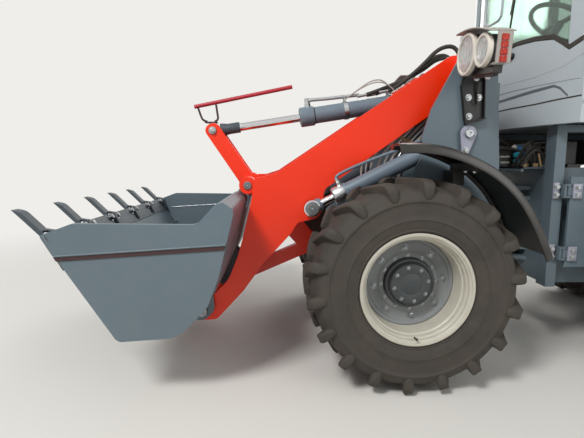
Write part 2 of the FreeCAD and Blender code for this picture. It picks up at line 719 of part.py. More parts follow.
def bucket():
    """Shell, sides and cutting edge of the bucket, curled back as it is carried."""
    width = s.bucket_half_width
    # Section of the shell from its top edge round the back to the lip
    path = [(fx(961), up(970)), (fx(925), up(984), 20), (fx(872), up(945), 35),
            (fx(953), up(625), 60), (fx(1010), up(480), 120), (fx(1150), up(340), 150),
            (fx(1432), up(322), 40), (fx(1697), up(739))]
    inside = width - s.bucket_side
    wrapper = plate("bucket_sheet", strip(path, s.bucket_wall), -inside, inside)
    clear = s.rocker_bracket_inner + s.ear_thick + 3 * s.running_gap
    notch = box("rocker_notch", (fx(830), fx(990)), (-clear, clear), (up(860), up(1010)))
    parts = [cut("bucket_wrapper", wrapper, [notch])]
    ear = [(fx(1146), up(188), 68), (fx(1240), up(230), 30), (fx(1250), up(345)),
           (fx(1160), up(348)), (fx(1080), up(405)), (fx(1068), up(260), 68)]
    hole = [(BUCKET_PIN[0], BUCKET_PIN[1], s.bucket_pin_radius + s.fit)]
    gap = (s.boom_thick + 20) / 2
    for side in SIDES:
        middle = s.boom_inner + s.boom_thick / 2
        for name, inner in (("inner", middle - gap - s.ear_thick), ("outer", middle + gap)):
            low, high = span(side, inner, inner + s.ear_thick)
            parts.append(plate(f"bucket_ear_{SIDE_NAMES[side]}_{name}", ear, low, high, hole))
        low, high = span(side, s.rocker_inner, s.rocker_inner + s.ear_thick)
        link_ear = [(fx(890), up(405), 50), (fx(915), up(335), 50), (fx(1000), up(330), 50),
                    (fx(1135), up(360)), (fx(1012), up(490)), (fx(972), up(585)), (fx(945), up(560))]
        hole_link = [(LINK_PIN[0], LINK_PIN[1], s.link_pin_radius + s.fit)]
        parts.append(plate(f"link_ear_{SIDE_NAMES[side]}", link_ear, low, high, hole_link))
    node("bucket_shell", parts)
    outline = [(fx(1751), up(833), 12), (fx(1603), up(888), 40), (fx(1043), up(881), 60),
               (fx(961), up(970), 20), (fx(925), up(984), 20), (fx(872), up(945), 35),
               (fx(953), up(625), 60), (fx(1010), up(480), 120), (fx(1150), up(340), 150),
               (fx(1432), up(322), 40), (fx(1697), up(739))]
    wear = [(fx(1751), up(833), 12), (fx(1603), up(888), 40), (fx(1043), up(881), 60),
            (fx(961), up(970), 20), (fx(925), up(984), 20), (fx(872), up(945), 35),
            (fx(911), up(790)), (fx(1697), up(739))]
    sides = []
    for side in SIDES:
        low, high = span(side, width - s.bucket_side, width)
        sides.append(plate(f"bucket_side_{SIDE_NAMES[side]}", outline, low, high))
        low, high = span(side, width, width + 10)
        sides.append(plate(f"bucket_wear_{SIDE_NAMES[side]}", wear, low, high))
    node("bucket_sides", sides)
    # Cutting edge along the lip and six curved teeth bolted on it
    edge = [(fx(1697.3), up(739.2)), (fx(1751), up(833)), (fx(1736), up(842)),
            (fx(1682), up(748.6))]
    pieces = [plate("cutting_plate", edge, -inside, inside)]
    tooth = [(fx(1655.4), up(672.6)), (fx(1675), up(661)), (fx(1767), up(824), 40),
             (fx(1870), up(928)), (fx(1890), up(946)), (fx(1850), up(938), 60),
             (fx(1747.5), up(835)), (fx(1698.8), up(749.9)), (fx(1697.6), up(739.3))]
    for index in range(6):
        y = (width - s.tooth_edge) * (index - 2.5) / 2.5
        pieces.append(plate(f"tooth_{index}", tooth, y - s.tooth_width / 2, y + s.tooth_width / 2))
    node("cutting_edge", pieces)


def rocker():
    """Two plates tied by a bar, with the level rail on the upper end."""
    outline = [(fx(1168), up(1385), 42), (fx(1078), up(1420), 42), (fx(842), up(1072), 40),
               (fx(780), up(1035), 60), (fx(402), up(640), 45), (fx(402), up(556), 45),
               (fx(495), up(550), 50), (fx(880), up(974), 20), (fx(908), up(996), 30)]
    parts = []
    hole = [(ROCKER_PIN[0], ROCKER_PIN[1], s.rocker_pin_radius + s.fit)]
    outer = s.rocker_inner + s.rocker_thick
    for side in SIDES:
        low, high = span(side, s.rocker_inner, outer)
        parts.append(plate(f"rocker_plate_{SIDE_NAMES[side]}", outline, low, high, hole))
    parts.append(shaft("rocker_tie", "y", 5 - outer, outer - 5, (fx(984), up(1196)), 22))
    node("rocker", parts)
    rail_start = (fx(586), 0, up(1645))
    rail_end = (fx(1224), 0, up(1528))
    rail = [aimed("rail_bar", rail_start, rail_end, 13)]
    rail.append(aimed("rail_leg_front", (fx(1128), 0, up(1412)), (fx(1150), 0, up(1541)), 6))
    rail.append(aimed("rail_leg_rear", (fx(1085), 0, up(1416)), (fx(1040), 0, up(1561)), 6))
    node("level_rail", rail)


def link():
    """The bar between the rocker's foot and the bucket."""
    foot = Vector(float(ROCKER_FOOT[0]), float(ROCKER_FOOT[1]), 0)
    end = Vector(float(LINK_PIN[0]), float(LINK_PIN[1]), 0)
    run = end - foot
    run.normalize()
    side = Vector(-run.y, run.x, 0) * 42
    points = [foot - run * 50 + side, end + run * 45 + side, end + run * 45 - side,
              foot - run * 50 - side]
    outline = [(p.x, p.y, 40) for p in points]
    reach = s.rocker_inner - 20
    hole = [(LINK_PIN[0], LINK_PIN[1], s.link_pin_radius + s.fit)]
    parts = [plate("link_bar", outline, -reach, reach, hole)]
    reach = s.rocker_inner - 7
    parts.append(shaft("link_foot_pin", "y", -reach, reach, ROCKER_FOOT, s.link_pin_radius))
    node("link", parts)


def cylinder(name, base, head, y, radius, rod_radius, pin_radius, gland_at, gland_radius,
             travel):
    """Barrel and rod of a hydraulic cylinder in the XZ plane at y; travel is (in, out)."""
    tail = gland_at - travel[1] - 60
    start = (base[0], y, base[1])
    end = (head[0], y, head[1])
    half = s.eye_width / 2
    if name == "tilt":
        half = s.tilt_tube_radius - 6
    eye = shaft(name + "_eye_outside", "y", y - half, y + half, base, pin_radius + 24)
    bore = shaft(name + "_eye_bore", "y", y - half, y + half, base, pin_radius + s.fit)
    tube = aimed(name + "_tube", start, end, radius, pin_radius + 10, gland_at)
    gland = aimed(name + "_gland", start, end, gland_radius, gland_at - 90, gland_at)
    body = fuse(name + "_body", [eye, tube, gland])
    hollow = aimed(name + "_hollow", start, end, rod_radius + s.fit, tail - travel[0] - 10,
                   gland_at + 10)
    node(name + "_barrel", [cut(name + "_bored", body, [bore, hollow])])
    rod = aimed(name + "_rod_bar", start, end, rod_radius, tail)
    half = s.eye_width / 2
    sleeve = shaft(name + "_rod_eye", "y", y - half, y + half, head, rod_radius + 24)
    node(name + "_rod", [rod, sleeve])


def cylinders():
    """Tilt, lift and steering cylinders."""
    tilt = math.dist([float(v) for v in TILT_BASE], [float(v) for v in ROCKER_TOP])
    cylinder("tilt", TILT_BASE, ROCKER_TOP, Size(0, "0"), s.tilt_tube_radius, s.tilt_rod_radius,
             s.tilt_pin_radius, tilt - 575, s.tilt_gland_radius, (205, 0))
    for side in SIDES:
        cylinder("lift_" + SIDE_NAMES[side], LIFT_BASE, LIFT_FRONT, side * s.lift_y,
                 s.lift_tube_radius, s.lift_rod_radius, s.lift_pin_radius, 820,
                 s.lift_tube_radius + 5, (15, 480))
    for side in SIDES:
        name = "steer_" + SIDE_NAMES[side]
        rear = (STEER_REAR[0], side * STEER_REAR[1], STEER_Z)
        front = (STEER_FRONT[0], side * STEER_FRONT[1], STEER_Z)
        eye = shaft(name + "_eye_outside", "z", STEER_Z - 28, STEER_Z + 28, rear[:2], 36)
        bore = shaft(name + "_eye_bore", "z", STEER_Z - 28, STEER_Z + 28, rear[:2],
                     s.steer_pin_radius + s.fit)
        tube = aimed(name + "_tube", rear, front, s.steer_tube_radius, 22, 355)
        hollow = aimed(name + "_hollow", rear, front, s.steer_rod_radius + s.fit, 75, 360)
        body = fuse(name + "_body", [eye, tube])
        node(name + "_barrel", [cut(name + "_bored", body, [bore, hollow])])
        rod = aimed(name + "_rod_bar", rear, front, s.steer_rod_radius, 190)
        sleeve = shaft(name + "_rod_eye", "z", STEER_Z - 28, STEER_Z + 28, front[:2], 26)
        node(name + "_rod", [rod, sleeve])


TAIL_X = rx(-s.tail_back)
CAB_FRONT_X = px(-100)
CAB_BACK_X = CAB_FRONT_X - s.cab_length
HOOD_FRONT_X = CAB_BACK_X - 30
HOOD_BACK_X = TAIL_X + 120
PAD_Z = s.tyre_radius + s.axle_radius + 25
DOOR_HINGE_X = px(-703)
HATCH_HINGE_X = px(-166)
HATCH_HINGE_Y = s.post_y + s.post_size / 2 + 45
STEP_BACK_X = rx(s.tyre_radius * 1.11)
STEP_FRONT_X = STEP_BACK_X + 200


def rear_chassis():
    """Rear frame: side plates, posts under the cab and the clevis of the pivot."""
    thick = s.frame_plate
    inner, outer = s.rear_plate_y, s.rear_plate_y + s.frame_plate
    back = TAIL_X + s.weight_depth
    outline = [(px(-120), up(430)), (px(-480), up(430), 60), (rx(330), PAD_Z, 40),
               (back, PAD_Z), (back, up(860)), (rx(300), up(860), 100), (px(-560), up(1130), 100),
               (px(-120), up(1130))]
    parts = []
    for side in SIDES:
        tag = "rear_" + SIDE_NAMES[side]
        low, high = span(side, inner, outer)
        parts.append(plate(tag + "_plate", outline, low, high))
        low, high = span(side, outer, s.post_y + s.post_size / 2)
        parts.append(box(tag + "_post", (px(-160), px(-100)), (low, high), (up(430), up(1370))))
        parts.append(box(tag + "_rear_post", (px(-1130), px(-1070)), (low, high),
                         (up(820), up(1370))))
        parts.append(box(tag + "_rail", (px(-1070), px(-160)), (low, high), (up(1330), up(1370))))
        low, high = span(side, outer, outer + 30)
        parts.append(box(tag + "_low_rail", (px(-700), px(-160)), (low, high),
                         (up(1030), up(1060))))
        low, high = span(side, s.post_y + s.post_size / 2, HATCH_HINGE_Y + 2)
        for name, z in (("upper", up(1000)), ("lower", up(640))):
            parts.append(box(f"{tag}_hatch_hinge_{name}", (HATCH_HINGE_X + 14, px(-140)),
                             (low, high), (z - 40, z + 40)))
            for end, shift in (("above", 27), ("below", -39)):
                parts.append(box(f"{tag}_hatch_leaf_{name}_{end}",
                                 (HATCH_HINGE_X - 7, HATCH_HINGE_X + 16),
                                 span(side, HATCH_HINGE_Y - 7, HATCH_HINGE_Y + 7),
                                 (z + shift, z + shift + 12)))
            parts.append(shaft(f"{tag}_hatch_pin_{name}", "z", z - 30, z + 30,
                               (HATCH_HINGE_X, side * HATCH_HINGE_Y), 5))
    parts.append(box("rear_wall_upper", (px(-160), px(-140)), (-inner, inner),
                     (up(800), up(1130))))
    parts.append(box("rear_wall_lower", (px(-160), px(-140)), (-inner, inner),
                     (up(430), up(610))))
    parts.append(box("rear_steer_beam", (px(-425), px(-400)), (-inner, inner),
                     (up(630), up(770))))
    parts.append(box("rear_tail_beam", (back, back + s.frame_plate), (-inner, inner), (PAD_Z, up(860))))
    for name, z in (("upper", up(950)), ("lower", up(560))):
        for end, low in (("above", z + 30 + s.running_gap), ("below", z - s.running_gap - 25)):
            lug = [(px(-140), -200), (px(40), -110, 40), (px(1) + s.pivot_lug_radius, -60, 50),
                   (px(1) + s.pivot_lug_radius, 60, 50), (px(40), 110, 40), (px(-140), 200)]
            parts.append(slab(f"clevis_{name}_{end}", lug, low, low + 25))
    parts.append(shaft("pivot_pin", "z", up(515), up(1030), (px(0), 0), s.pivot_pin_radius))
    for side in SIDES:
        x, y = STEER_REAR
        low, high = span(side, y - 50, y + 50)
        for name, z in (("upper", STEER_Z + 38), ("lower", STEER_Z - 58)):
            parts.append(box(f"steer_rear_{SIDE_NAMES[side]}_{name}", (px(-400), x + 30),
                             (low, high), (z, z + 20)))
        parts.append(shaft(f"steer_rear_{SIDE_NAMES[side]}_pin", "z", STEER_Z - 60, STEER_Z + 60,
                           (x, side * y), s.steer_pin_radius))
    return node("rear_chassis", parts)


def powertrain():
    """Engine, gearbox and radiator as plain blocks at their real places."""
    parts = [
        box("gearbox", (rx(170), rx(720)), (-200, 200), (up(640), up(1060))),
        box("bell_housing", (rx(60), rx(170)), (-200, 200), (up(760), up(1060))),
        box("engine", (rx(-600), rx(60)), (-230, 230), (up(730), up(1480))),
        box("radiator", (rx(-760), rx(-640)), (-360, 360), (up(730), up(1600))),
        box("radiator_foot", (rx(-760), rx(-640)), (-s.rear_plate_y, s.rear_plate_y),
            (PAD_Z, up(730))),
        box("gearbox_mount", (rx(400), rx(500)), (-s.rear_plate_y, s.rear_plate_y),
            (up(700), up(760))),
    ]
    node("powertrain", parts)
    block = box("valve_block", (px(-420), px(-220)), (-190, 190), (up(1150), up(1290)))
    foot = box("valve_foot", (px(-330), px(-250)), (-s.rear_plate_y, s.rear_plate_y),
               (up(1100), up(1150)))
    spools = [shaft(f"valve_spool_{index}", "x", px(-220), px(-170),
                    (-150 + 75 * index, up(1230)), 20) for index in range(5)]
    node("control_valve", [block, foot] + spools)


def counterweight():
    """Cast tail weight with an open channel down to the hitch."""
    width = s.weight_half_width
    outline = [(TAIL_X, -width + 60, 80), (TAIL_X, width - 60, 80), (TAIL_X + 130, width, 80),
               (TAIL_X + s.weight_depth, width, 30), (TAIL_X + s.weight_depth, -width, 30),
               (TAIL_X + 130, -width, 80)]
    block = slab("weight_block", outline, up(560), up(1040))
    pocket = box("weight_channel", (TAIL_X - 10, TAIL_X + 115), (-95, 95), (up(640), up(1045)))
    parts = [cut("weight_cast", block, [pocket])]
    for side in SIDES:
        tag = "hood_hinge_" + SIDE_NAMES[side]
        for name, inner in (("inner", 240), ("outer", 306)):
            low, high = span(side, inner, inner + 14)
            parts.append(box(f"{tag}_{name}", (HOOD_BACK_X - 36, HOOD_BACK_X - 8), (low, high),
                             (up(1040), up(1073))))
        low, high = span(side, 240, 320)
        parts.append(shaft(tag + "_pin", "y", low, high, (HOOD_BACK_X - 22, up(1062)), 8))
    node("counterweight", parts)
    ears = []
    hole = [(TAIL_X + 50, 0, 16)]
    ear = [(TAIL_X + 8, -45, 30), (TAIL_X + 8, 45, 30), (TAIL_X + 115, 45), (TAIL_X + 115, -45)]
    for name, z in (("lower", up(690)), ("upper", up(770))):
        ears.append(slab("hitch_ear_" + name, ear, z, z + 20, hole))
    ears.append(box("hitch_web", (TAIL_X + 95, TAIL_X + 115), (-45, 45), (up(690), up(790))))
    node("tow_hitch", ears)


def steps_and_tanks():
    """Fuel and oil tanks with the access steps outside them."""
    parts = []
    for side in SIDES:
        tag = "access_" + SIDE_NAMES[side]
        tank_face = side * 590
        inner = side * (s.rear_plate_y + s.frame_plate)
        outline = [(STEP_FRONT_X, inner), (STEP_FRONT_X, tank_face, 40),
                   (STEP_BACK_X, tank_face, 40), (STEP_BACK_X, inner)]
        if side < 0:
            outline.reverse()
        parts.append(slab(tag + "_tank", outline, up(480), up(1020)))
        low, high = span(side, 570, 860)
        for name, x in (("front", STEP_FRONT_X - 15), ("rear", STEP_BACK_X + 5)):
            parts.append(box(f"{tag}_stringer_{name}", (x, x + 10), (low, high),
                             (up(430), up(1010))))
        for index in range(3):
            z = 440 + 270 * index
            low, high = span(side, 590 + 60 * index, 860)
            parts.append(box(f"{tag}_tread_{index}", (STEP_BACK_X + 5, STEP_FRONT_X - 5),
                             (low, high), (up(z), up(z + 20))))
    node("steps_and_tanks", parts)


def nose(offset=0):
    """The cab's plan, offset inwards: corners at the sides and a bowed front."""
    half = s.cab_half_width - offset
    front = CAB_FRONT_X - offset
    share = s.cab_half_width / DRAWN_CAB_HALF
    bow = 1600 * share - 3 * offset
    return [(CAB_BACK_X + offset, -half), (front, -half), (front + 268 * share, 0, bow),
            (front, half), (CAB_BACK_X + offset, half)]


def cab():
    """Hollow cab: floor, four walls with their windows, roof, glass and the left door."""
    base = up(1370)
    sill, head, top = up(s.cab_sill_z), up(s.cab_head_z), up(s.cab_top_z)
    deck = up(s.cab_floor_z)
    half = s.cab_half_width
    inner = half - s.cab_wall
    split = px(-140)
    rear = CAB_BACK_X + s.cab_wall
    front_end = px(200)

    def ring(name, x, y, windows):
        shell = cut(name + "_ring", slab(name + "_outside", nose(), base, top),
                    [slab(name + "_inside", nose(s.cab_wall), base - 1, top + 1)])
        common = new("Part::MultiCommon", name + "_wall")
        common.Shapes = [shell, box(name + "_share", x, y, (base, top))]
        if not windows:
            return common
        return cut(name + "_cut", common, [box(f"{name}_window_{index}", *window)
                                           for index, window in enumerate(windows)])

    node("cab_floor", [slab("floor_plate", nose(s.cab_wall), deck - 40, deck)])
    screen = (split - 5, front_end)
    node("cab_front", [ring("cab_front", (split, front_end), (-half, half),
                            [(screen, (90 - half, half - 90), (sill, head))])])
    door_x = (px(-700), px(-145))
    rear_window = (px(-1110), px(-745))
    left = ring("cab_left", (rear, split), (inner, half),
                [(door_x, (inner - 5, half + 5), (deck + 10, head)),
                 (rear_window, (inner - 5, half + 5), (sill, head))])
    hinge_parts = [left]
    for name, z in (("low", up(1640)), ("high", up(2420))):
        for end, shift in (("above", 22), ("below", -34)):
            hinge_parts.append(box(f"door_leaf_{name}_{end}",
                                   (DOOR_HINGE_X - 55, DOOR_HINGE_X + 12),
                                   (half, half + 30), (z + shift, z + shift + 12)))
        hinge_parts.append(shaft("door_pin_" + name, "z", z - 30, z + 30,
                                 (DOOR_HINGE_X, half + 18), 6))
    node("cab_left", hinge_parts)
    right = ring("cab_right", (rear, split), (-half, -inner),
                 [((px(-700), px(-185)), (-half - 5, 5 - inner), (up(1600), head)),
                  (rear_window, (-half - 5, 5 - inner), (sill, head))])
    node("cab_right", [right])
    back = ring("cab_rear", (CAB_BACK_X, rear), (-half, half),
                [((CAB_BACK_X - 5, rear + 5), (110 - half, half - 110), (up(1850), head))])
    node("cab_rear", [back])
    share = half / DRAWN_CAB_HALF
    roof = [(CAB_BACK_X - 50, -half - 35, 90), (CAB_FRONT_X + 30, -half - 35, 90),
            (CAB_FRONT_X + 30 + 300 * share, 0, 1300 * share), (CAB_FRONT_X + 30, half + 35, 90),
            (CAB_BACK_X - 50, half + 35, 90)]
    node("cab_roof", [slab("roof_slab", roof, top, top + s.roof_height)])
    middle = half - s.cab_wall / 2
    low_y, high_y = middle - s.glass_thick / 2, middle + s.glass_thick / 2
    panes = [
        box("pane_left", rear_window, (low_y, high_y), (sill, head)),
        box("pane_right", rear_window, (-high_y, -low_y), (sill, head)),
        box("pane_right_front", (px(-700), px(-185)), (-high_y, -low_y), (up(1600), head)),
        box("pane_rear", (CAB_BACK_X + 17, CAB_BACK_X + 23), (110 - half, half - 110),
            (up(1850), head)),
    ]
    outer = slab("screen_outside", nose(17), sill, head)
    inside = slab("screen_inside", nose(17 + s.glass_thick), sill - 1, head + 1)
    band = cut("screen_band", outer, [inside])
    common = new("Part::MultiCommon", "pane_front")
    common.Shapes = [band, box("screen_share", screen, (90 - half, half - 90), (sill, head))]
    node("cab_glass", panes + [common])
    gap = s.door_gap
    door_low, door_high = deck + 10 + gap, head - gap
    frame = [(door_x[0] + gap, door_low), (door_x[1] - gap, door_low),
             (door_x[1] - gap, door_high), (door_x[0] + gap, door_high)]
    leaf = plate("door_leaf", frame, inner, half)
    window = ((door_x[0] + gap + 45, door_x[1] - gap - 45), (inner - 5, half + 5),
              (up(1660), door_high - 45))
    parts = [cut("door_frame", leaf, [box("door_window", *window)])]
    for name, z in (("low", up(1640)), ("high", up(2420))):
        outside = shaft(f"door_knuckle_{name}_outside", "z", z - 18, z + 18,
                        (DOOR_HINGE_X, half + 18), 13)
        arm = box(f"door_arm_{name}", (DOOR_HINGE_X + 6, DOOR_HINGE_X + 70),
                  (half, half + 12), (z - 18, z + 18))
        bore = shaft(f"door_knuckle_{name}_bore", "z", z - 20, z + 20,
                     (DOOR_HINGE_X, half + 18), 6 + s.fit)
        parts.append(cut("door_knuckle_" + name, fuse("door_grip_" + name, [outside, arm]), [bore]))
    handle = box("door_handle", (px(-260), px(-160)), (half, half + 25), (up(1560), up(1590)))
    parts.append(handle)
    node("cab_door", parts)
    node("cab_door_glass", [box("door_pane", window[0], (low_y, high_y), window[2])])
    cushion = box("seat_cushion", (px(-950), px(-520)), (-240, 240), (up(1800), up(1900)))
    rest = box("seat_rest", (px(-1010), px(-900)), (-230, 230), (up(1900), up(2420)))
    node("seat", [cushion, rest])
    stand = box("seat_stand", (px(-900), px(-600)), (-180, 180), (deck, up(1800)))
    dash = box("dash", (px(-180), px(-60)), (-250, 250), (deck, up(1900)))
    lever_box = box("lever_box", (px(-800), px(-420)), (-430, -260), (deck, up(1880)))
    column = aimed("column", (px(-150), 0, up(1700)), (px(-370), 0, up(2060)), 28)
    wheel = new("Part::Torus", "steering_ring")
    wheel.Radius1 = 190
    wheel.Radius2 = 15
    place(wheel, px(-370), 0, up(2060), Rotation(Vector(0, 1, 0), -31))
    spoke = new("Part::Box", "steering_spoke")
    spoke.Length, spoke.Width, spoke.Height = 30, 380, 12
    place(spoke, px(-383), -190, up(2052), Rotation(Vector(0, 1, 0), -31))
    lever = aimed("lever", (px(-480), -345, up(1880)), (px(-460), -345, up(2080)), 12)
    node("controls", [stand, dash, lever_box, column, wheel, spoke, lever])


def hood():
    """Engine hood hinged at its rear edge, with its grille and exhaust stack."""
    half = s.hood_half_width
    wall_thick = s.hood_wall
    top, low = up(s.hood_top_z), up(s.hood_base_z)
    side = [(HOOD_FRONT_X, low), (HOOD_FRONT_X, top), (rx(-850), top - 40, 200),
            (HOOD_BACK_X, top - 230, 160), (HOOD_BACK_X, low)]
    inside = [(HOOD_FRONT_X + 10, low - 10), (HOOD_FRONT_X + 10, top - wall_thick),
              (rx(-850), top - 40 - wall_thick, 180),
              (HOOD_BACK_X + wall_thick, top - 240, 140), (HOOD_BACK_X + wall_thick, low - 10)]
    body = plate("hood_outside", side, -half, half)
    tools = [plate("hood_inside", inside, wall_thick - half, half - wall_thick)]
    grille_y = (-360, 360)
    grille_z = (low + 70, top - 330)
    tools.append(box("hood_mouth", (HOOD_BACK_X - 5, HOOD_BACK_X + wall_thick + 5), grille_y,
                     grille_z))
    for index in range(6):
        x = rx(-280 - 90 * index)
        tools.append(box(f"hood_vent_{index}", (x, x + 50), (-half - 5, half + 5),
                         (top - 430, top - 180)))
    parts = [cut("hood_shell", body, tools)]
    for turn in SIDES:
        tag = "hood_knuckle_" + SIDE_NAMES[turn]
        span_y = span(turn, 262, 298)
        ring = shaft(tag + "_outside", "y", *span_y, (HOOD_BACK_X - 22, up(1062)), 14)
        arm = box(tag + "_arm", (HOOD_BACK_X - 22, HOOD_BACK_X + 5), span_y, (up(1063), up(1085)))
        bore = shaft(tag + "_bore", "y", *span_y, (HOOD_BACK_X - 22, up(1062)), 8 + s.fit)
        parts.append(cut(tag, fuse(tag + "_grip", [ring, arm]), [bore]))
    node("hood", parts)
    slats = []
    for index in range(8):
        z = grille_z[0] + 12 + index * 40
        slats.append(box(f"grille_slat_{index}", (HOOD_BACK_X + 4, HOOD_BACK_X + 20), grille_y,
                         (z, z + 14)))
    for index in range(3):
        y = -250 + 250 * index
        slats.append(box(f"grille_bar_{index}", (HOOD_BACK_X + 6, HOOD_BACK_X + 18),
                         (y - 10, y + 10), grille_z))
    node("radiator_grille", slats)
    stack = shaft("stack_pipe", "z", top - 40, top + 380, (rx(-330), -200), 36)
    collar = shaft("stack_collar", "z", top - 40, top + 60, (rx(-330), -200), 62)
    bend = aimed("stack_bend", (rx(-330), -200, top + 375), (rx(-430), -200, top + 440), 34)
    intake = shaft("intake_pipe", "z", top - 40, top + 160, (rx(-250), 220), 40)
    bowl = shaft("intake_bowl", "z", top + 160, top + 270, (rx(-250), 220), 85)
    bonnet = plate("hood_under_pipes", side, -half, half)
    node("exhaust", [cut("pipes_seated", fuse("pipes", [stack, collar, bend, intake, bowl]),
                         [bonnet])])


def small_parts():
    """Tail and roof lamps, mirrors, rails and the two hatches under the cab."""
    lamps = []
    for side in SIDES:
        tag = "tail_" + SIDE_NAMES[side]
        low, high = span(side, 490, 625)
        lamps.append(box(tag + "_lamp", (TAIL_X - 12, TAIL_X), (low, high),
                         (up(880), up(960))))
        lamps.append(box(tag + "_roof", (CAB_BACK_X - 90, CAB_BACK_X - 30), span(side, 420, 560),
                         (up(s.cab_top_z) - 95, up(s.cab_top_z))))
    node("rear_lamps", lamps)
    rails = []
    half = s.cab_half_width
    for side in SIDES:
        tag = "mirror_" + SIDE_NAMES[side]
        low, high = span(side, half, half + 180)
        rails.append(shaft(tag + "_arm", "y", low, high, (CAB_FRONT_X - 18, up(2215)), 10))
        low, high = span(side, half + 120, half + 270)
        rails.append(box(tag + "_head", (CAB_FRONT_X - 30, CAB_FRONT_X + 5), (low, high),
                         (up(1990), up(2230))))
        y = side * (half + 60)
        rails.append(shaft(tag + "_rail", "z", up(1450), up(1950), (CAB_FRONT_X - 18, y), 12))
        for name, z in (("low", up(1480)), ("high", up(1920))):
            low, high = span(side, half, half + 60)
            rails.append(shaft(f"{tag}_rail_{name}", "y", low, high, (CAB_FRONT_X - 18, z), 10))
    node("mirrors_and_rails", rails)
    for side in SIDES:
        name = "hatch_" + SIDE_NAMES[side]
        low, high = span(side, HATCH_HINGE_Y - 20, HATCH_HINGE_Y - 4)
        parts = [box(name + "_panel", (px(-425), px(-176)), (low, high), (up(560), up(1080)))]
        for tag, z in (("upper", up(1000)), ("lower", up(640))):
            ring = shaft(f"{name}_{tag}_outside", "z", z - 24, z + 24,
                         (HATCH_HINGE_X, side * HATCH_HINGE_Y), 9)
            low, high = span(side, HATCH_HINGE_Y - 4, HATCH_HINGE_Y + 4)
            arm = box(f"{name}_{tag}_arm", (px(-230), HATCH_HINGE_X), (low, high), (z - 24, z + 24))
            bore = shaft(f"{name}_{tag}_bore", "z", z - 26, z + 26,
                         (HATCH_HINGE_X, side * HATCH_HINGE_Y), 5 + s.fit)
            parts.append(cut(f"{name}_{tag}", fuse(f"{name}_{tag}_grip", [ring, arm]), [bore]))
        node(name, parts)


wheels()
axle("front_axle", fx(0))
axle("rear_axle", rx(0))
front_chassis()
fenders()
headlamps()
boom()
pins()
bucket()
rocker()
link()
cylinders()
rear_chassis()
powertrain()
counterweight()
steps_and_tanks()
cab()
hood()
small_parts()

doc.recompute()
faults = [item.Label for item in doc.Objects if "Invalid" in item.State or "Error" in item.State]
faults += [part.Label for part in NODES if part.Shape.isNull() or not part.Shape.isValid()]
if faults:
    raise RuntimeError("these did not build: " + ", ".join(faults))
for part in NODES:
    part.Shape.exportStep(f"parts/{part.Label}.step")
print(len(NODES), "nodes")
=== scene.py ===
import json
import math

import bmesh
import bpy
from mathutils import Matrix, Vector

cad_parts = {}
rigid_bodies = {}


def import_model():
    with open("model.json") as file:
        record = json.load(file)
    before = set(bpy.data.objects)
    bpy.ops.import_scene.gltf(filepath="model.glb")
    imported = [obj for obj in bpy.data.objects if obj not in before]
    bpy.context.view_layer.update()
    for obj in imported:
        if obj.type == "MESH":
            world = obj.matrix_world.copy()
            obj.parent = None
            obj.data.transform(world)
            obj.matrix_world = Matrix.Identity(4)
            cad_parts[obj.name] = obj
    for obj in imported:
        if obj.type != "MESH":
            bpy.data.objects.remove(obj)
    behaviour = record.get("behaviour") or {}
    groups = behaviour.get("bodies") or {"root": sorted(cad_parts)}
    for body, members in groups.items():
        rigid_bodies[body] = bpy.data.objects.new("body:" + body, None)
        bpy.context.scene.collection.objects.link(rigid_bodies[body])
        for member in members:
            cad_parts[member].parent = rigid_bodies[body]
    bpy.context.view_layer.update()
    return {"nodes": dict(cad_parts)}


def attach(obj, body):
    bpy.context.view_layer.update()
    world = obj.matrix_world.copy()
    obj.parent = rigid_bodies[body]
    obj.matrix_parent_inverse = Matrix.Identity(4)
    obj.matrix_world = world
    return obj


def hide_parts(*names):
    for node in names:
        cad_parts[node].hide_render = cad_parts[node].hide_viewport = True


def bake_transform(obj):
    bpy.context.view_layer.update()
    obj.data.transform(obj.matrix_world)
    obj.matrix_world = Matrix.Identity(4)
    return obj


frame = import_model()

bl_info = {
    "name": "Wheel loader finish",
    "version": (1, 0, 0),
    "blender": (4, 5, 0),
    "location": "View3D > Sidebar > Loader",
    "description": "Trim, rubber, paint and glass for an articulated wheel loader",
    "category": "Object",
}

MM = 0.001
SIDES = (("left", 1), ("right", -1))

# Real measures in metres, in the loader's own frame: X forwards, Y left, Z up
FRONT_X = 0.685
REAR_X = -1.365
PIVOT_X = -0.115
WHEEL_Y = 0.710
TYRE_R = 0.545
BOOM_PIVOT = (0.265, 1.700)
BUCKET_PIN = (1.831, 0.258)
ROCKER_PIN = (1.548, 1.021)
TILT_BASE = (0.303, 1.597)
TILT_HEAD = (1.785, 1.365)
LIFT_BASE = (0.300, 1.320)
LIFT_FRONT = (1.164, 0.895)
LIFT_Y = 0.395
BACKDROP = "#EFEEEA"

# Points closer than this are one, in metres; a radius below this lies on the axis, in millimetres
WELD = 1e-5
ON_AXIS = 0.01


def linear(code):
    """An sRGB hex colour as linear red, green, blue and alpha."""
    parts = [int(code[i:i + 2], 16) / 255 for i in (1, 3, 5)]
    return [p / 12.92 if p <= 0.04045 else ((p + 0.055) / 1.055) ** 2.4 for p in parts] + [1.0]


def add(tree, kind, inputs=None, **settings):
    """Add a node with its settings, then its values and links."""
    node = tree.nodes.new(kind)
    for key, value in settings.items():
        setattr(node, key, value)
    for key, value in (inputs or {}).items():
        if isinstance(value, bpy.types.NodeSocket):
            tree.links.new(value, node.inputs[key])
        else:
            node.inputs[key].default_value = value
    return node


def noise(tree, place, scale, detail, roughness=0.5):
    """A noise texture at object coordinates."""
    return add(tree, "ShaderNodeTexNoise", {"Vector": place, "Scale": scale, "Detail": detail,
                                            "Roughness": roughness})


def remap(tree, value, low, high, to_low, to_high, **settings):
    """A value stretched from one range to another."""
    return add(tree, "ShaderNodeMapRange",
               {"Value": value, "From Min": low, "From Max": high, "To Min": to_low, "To Max": to_high},
               **settings)


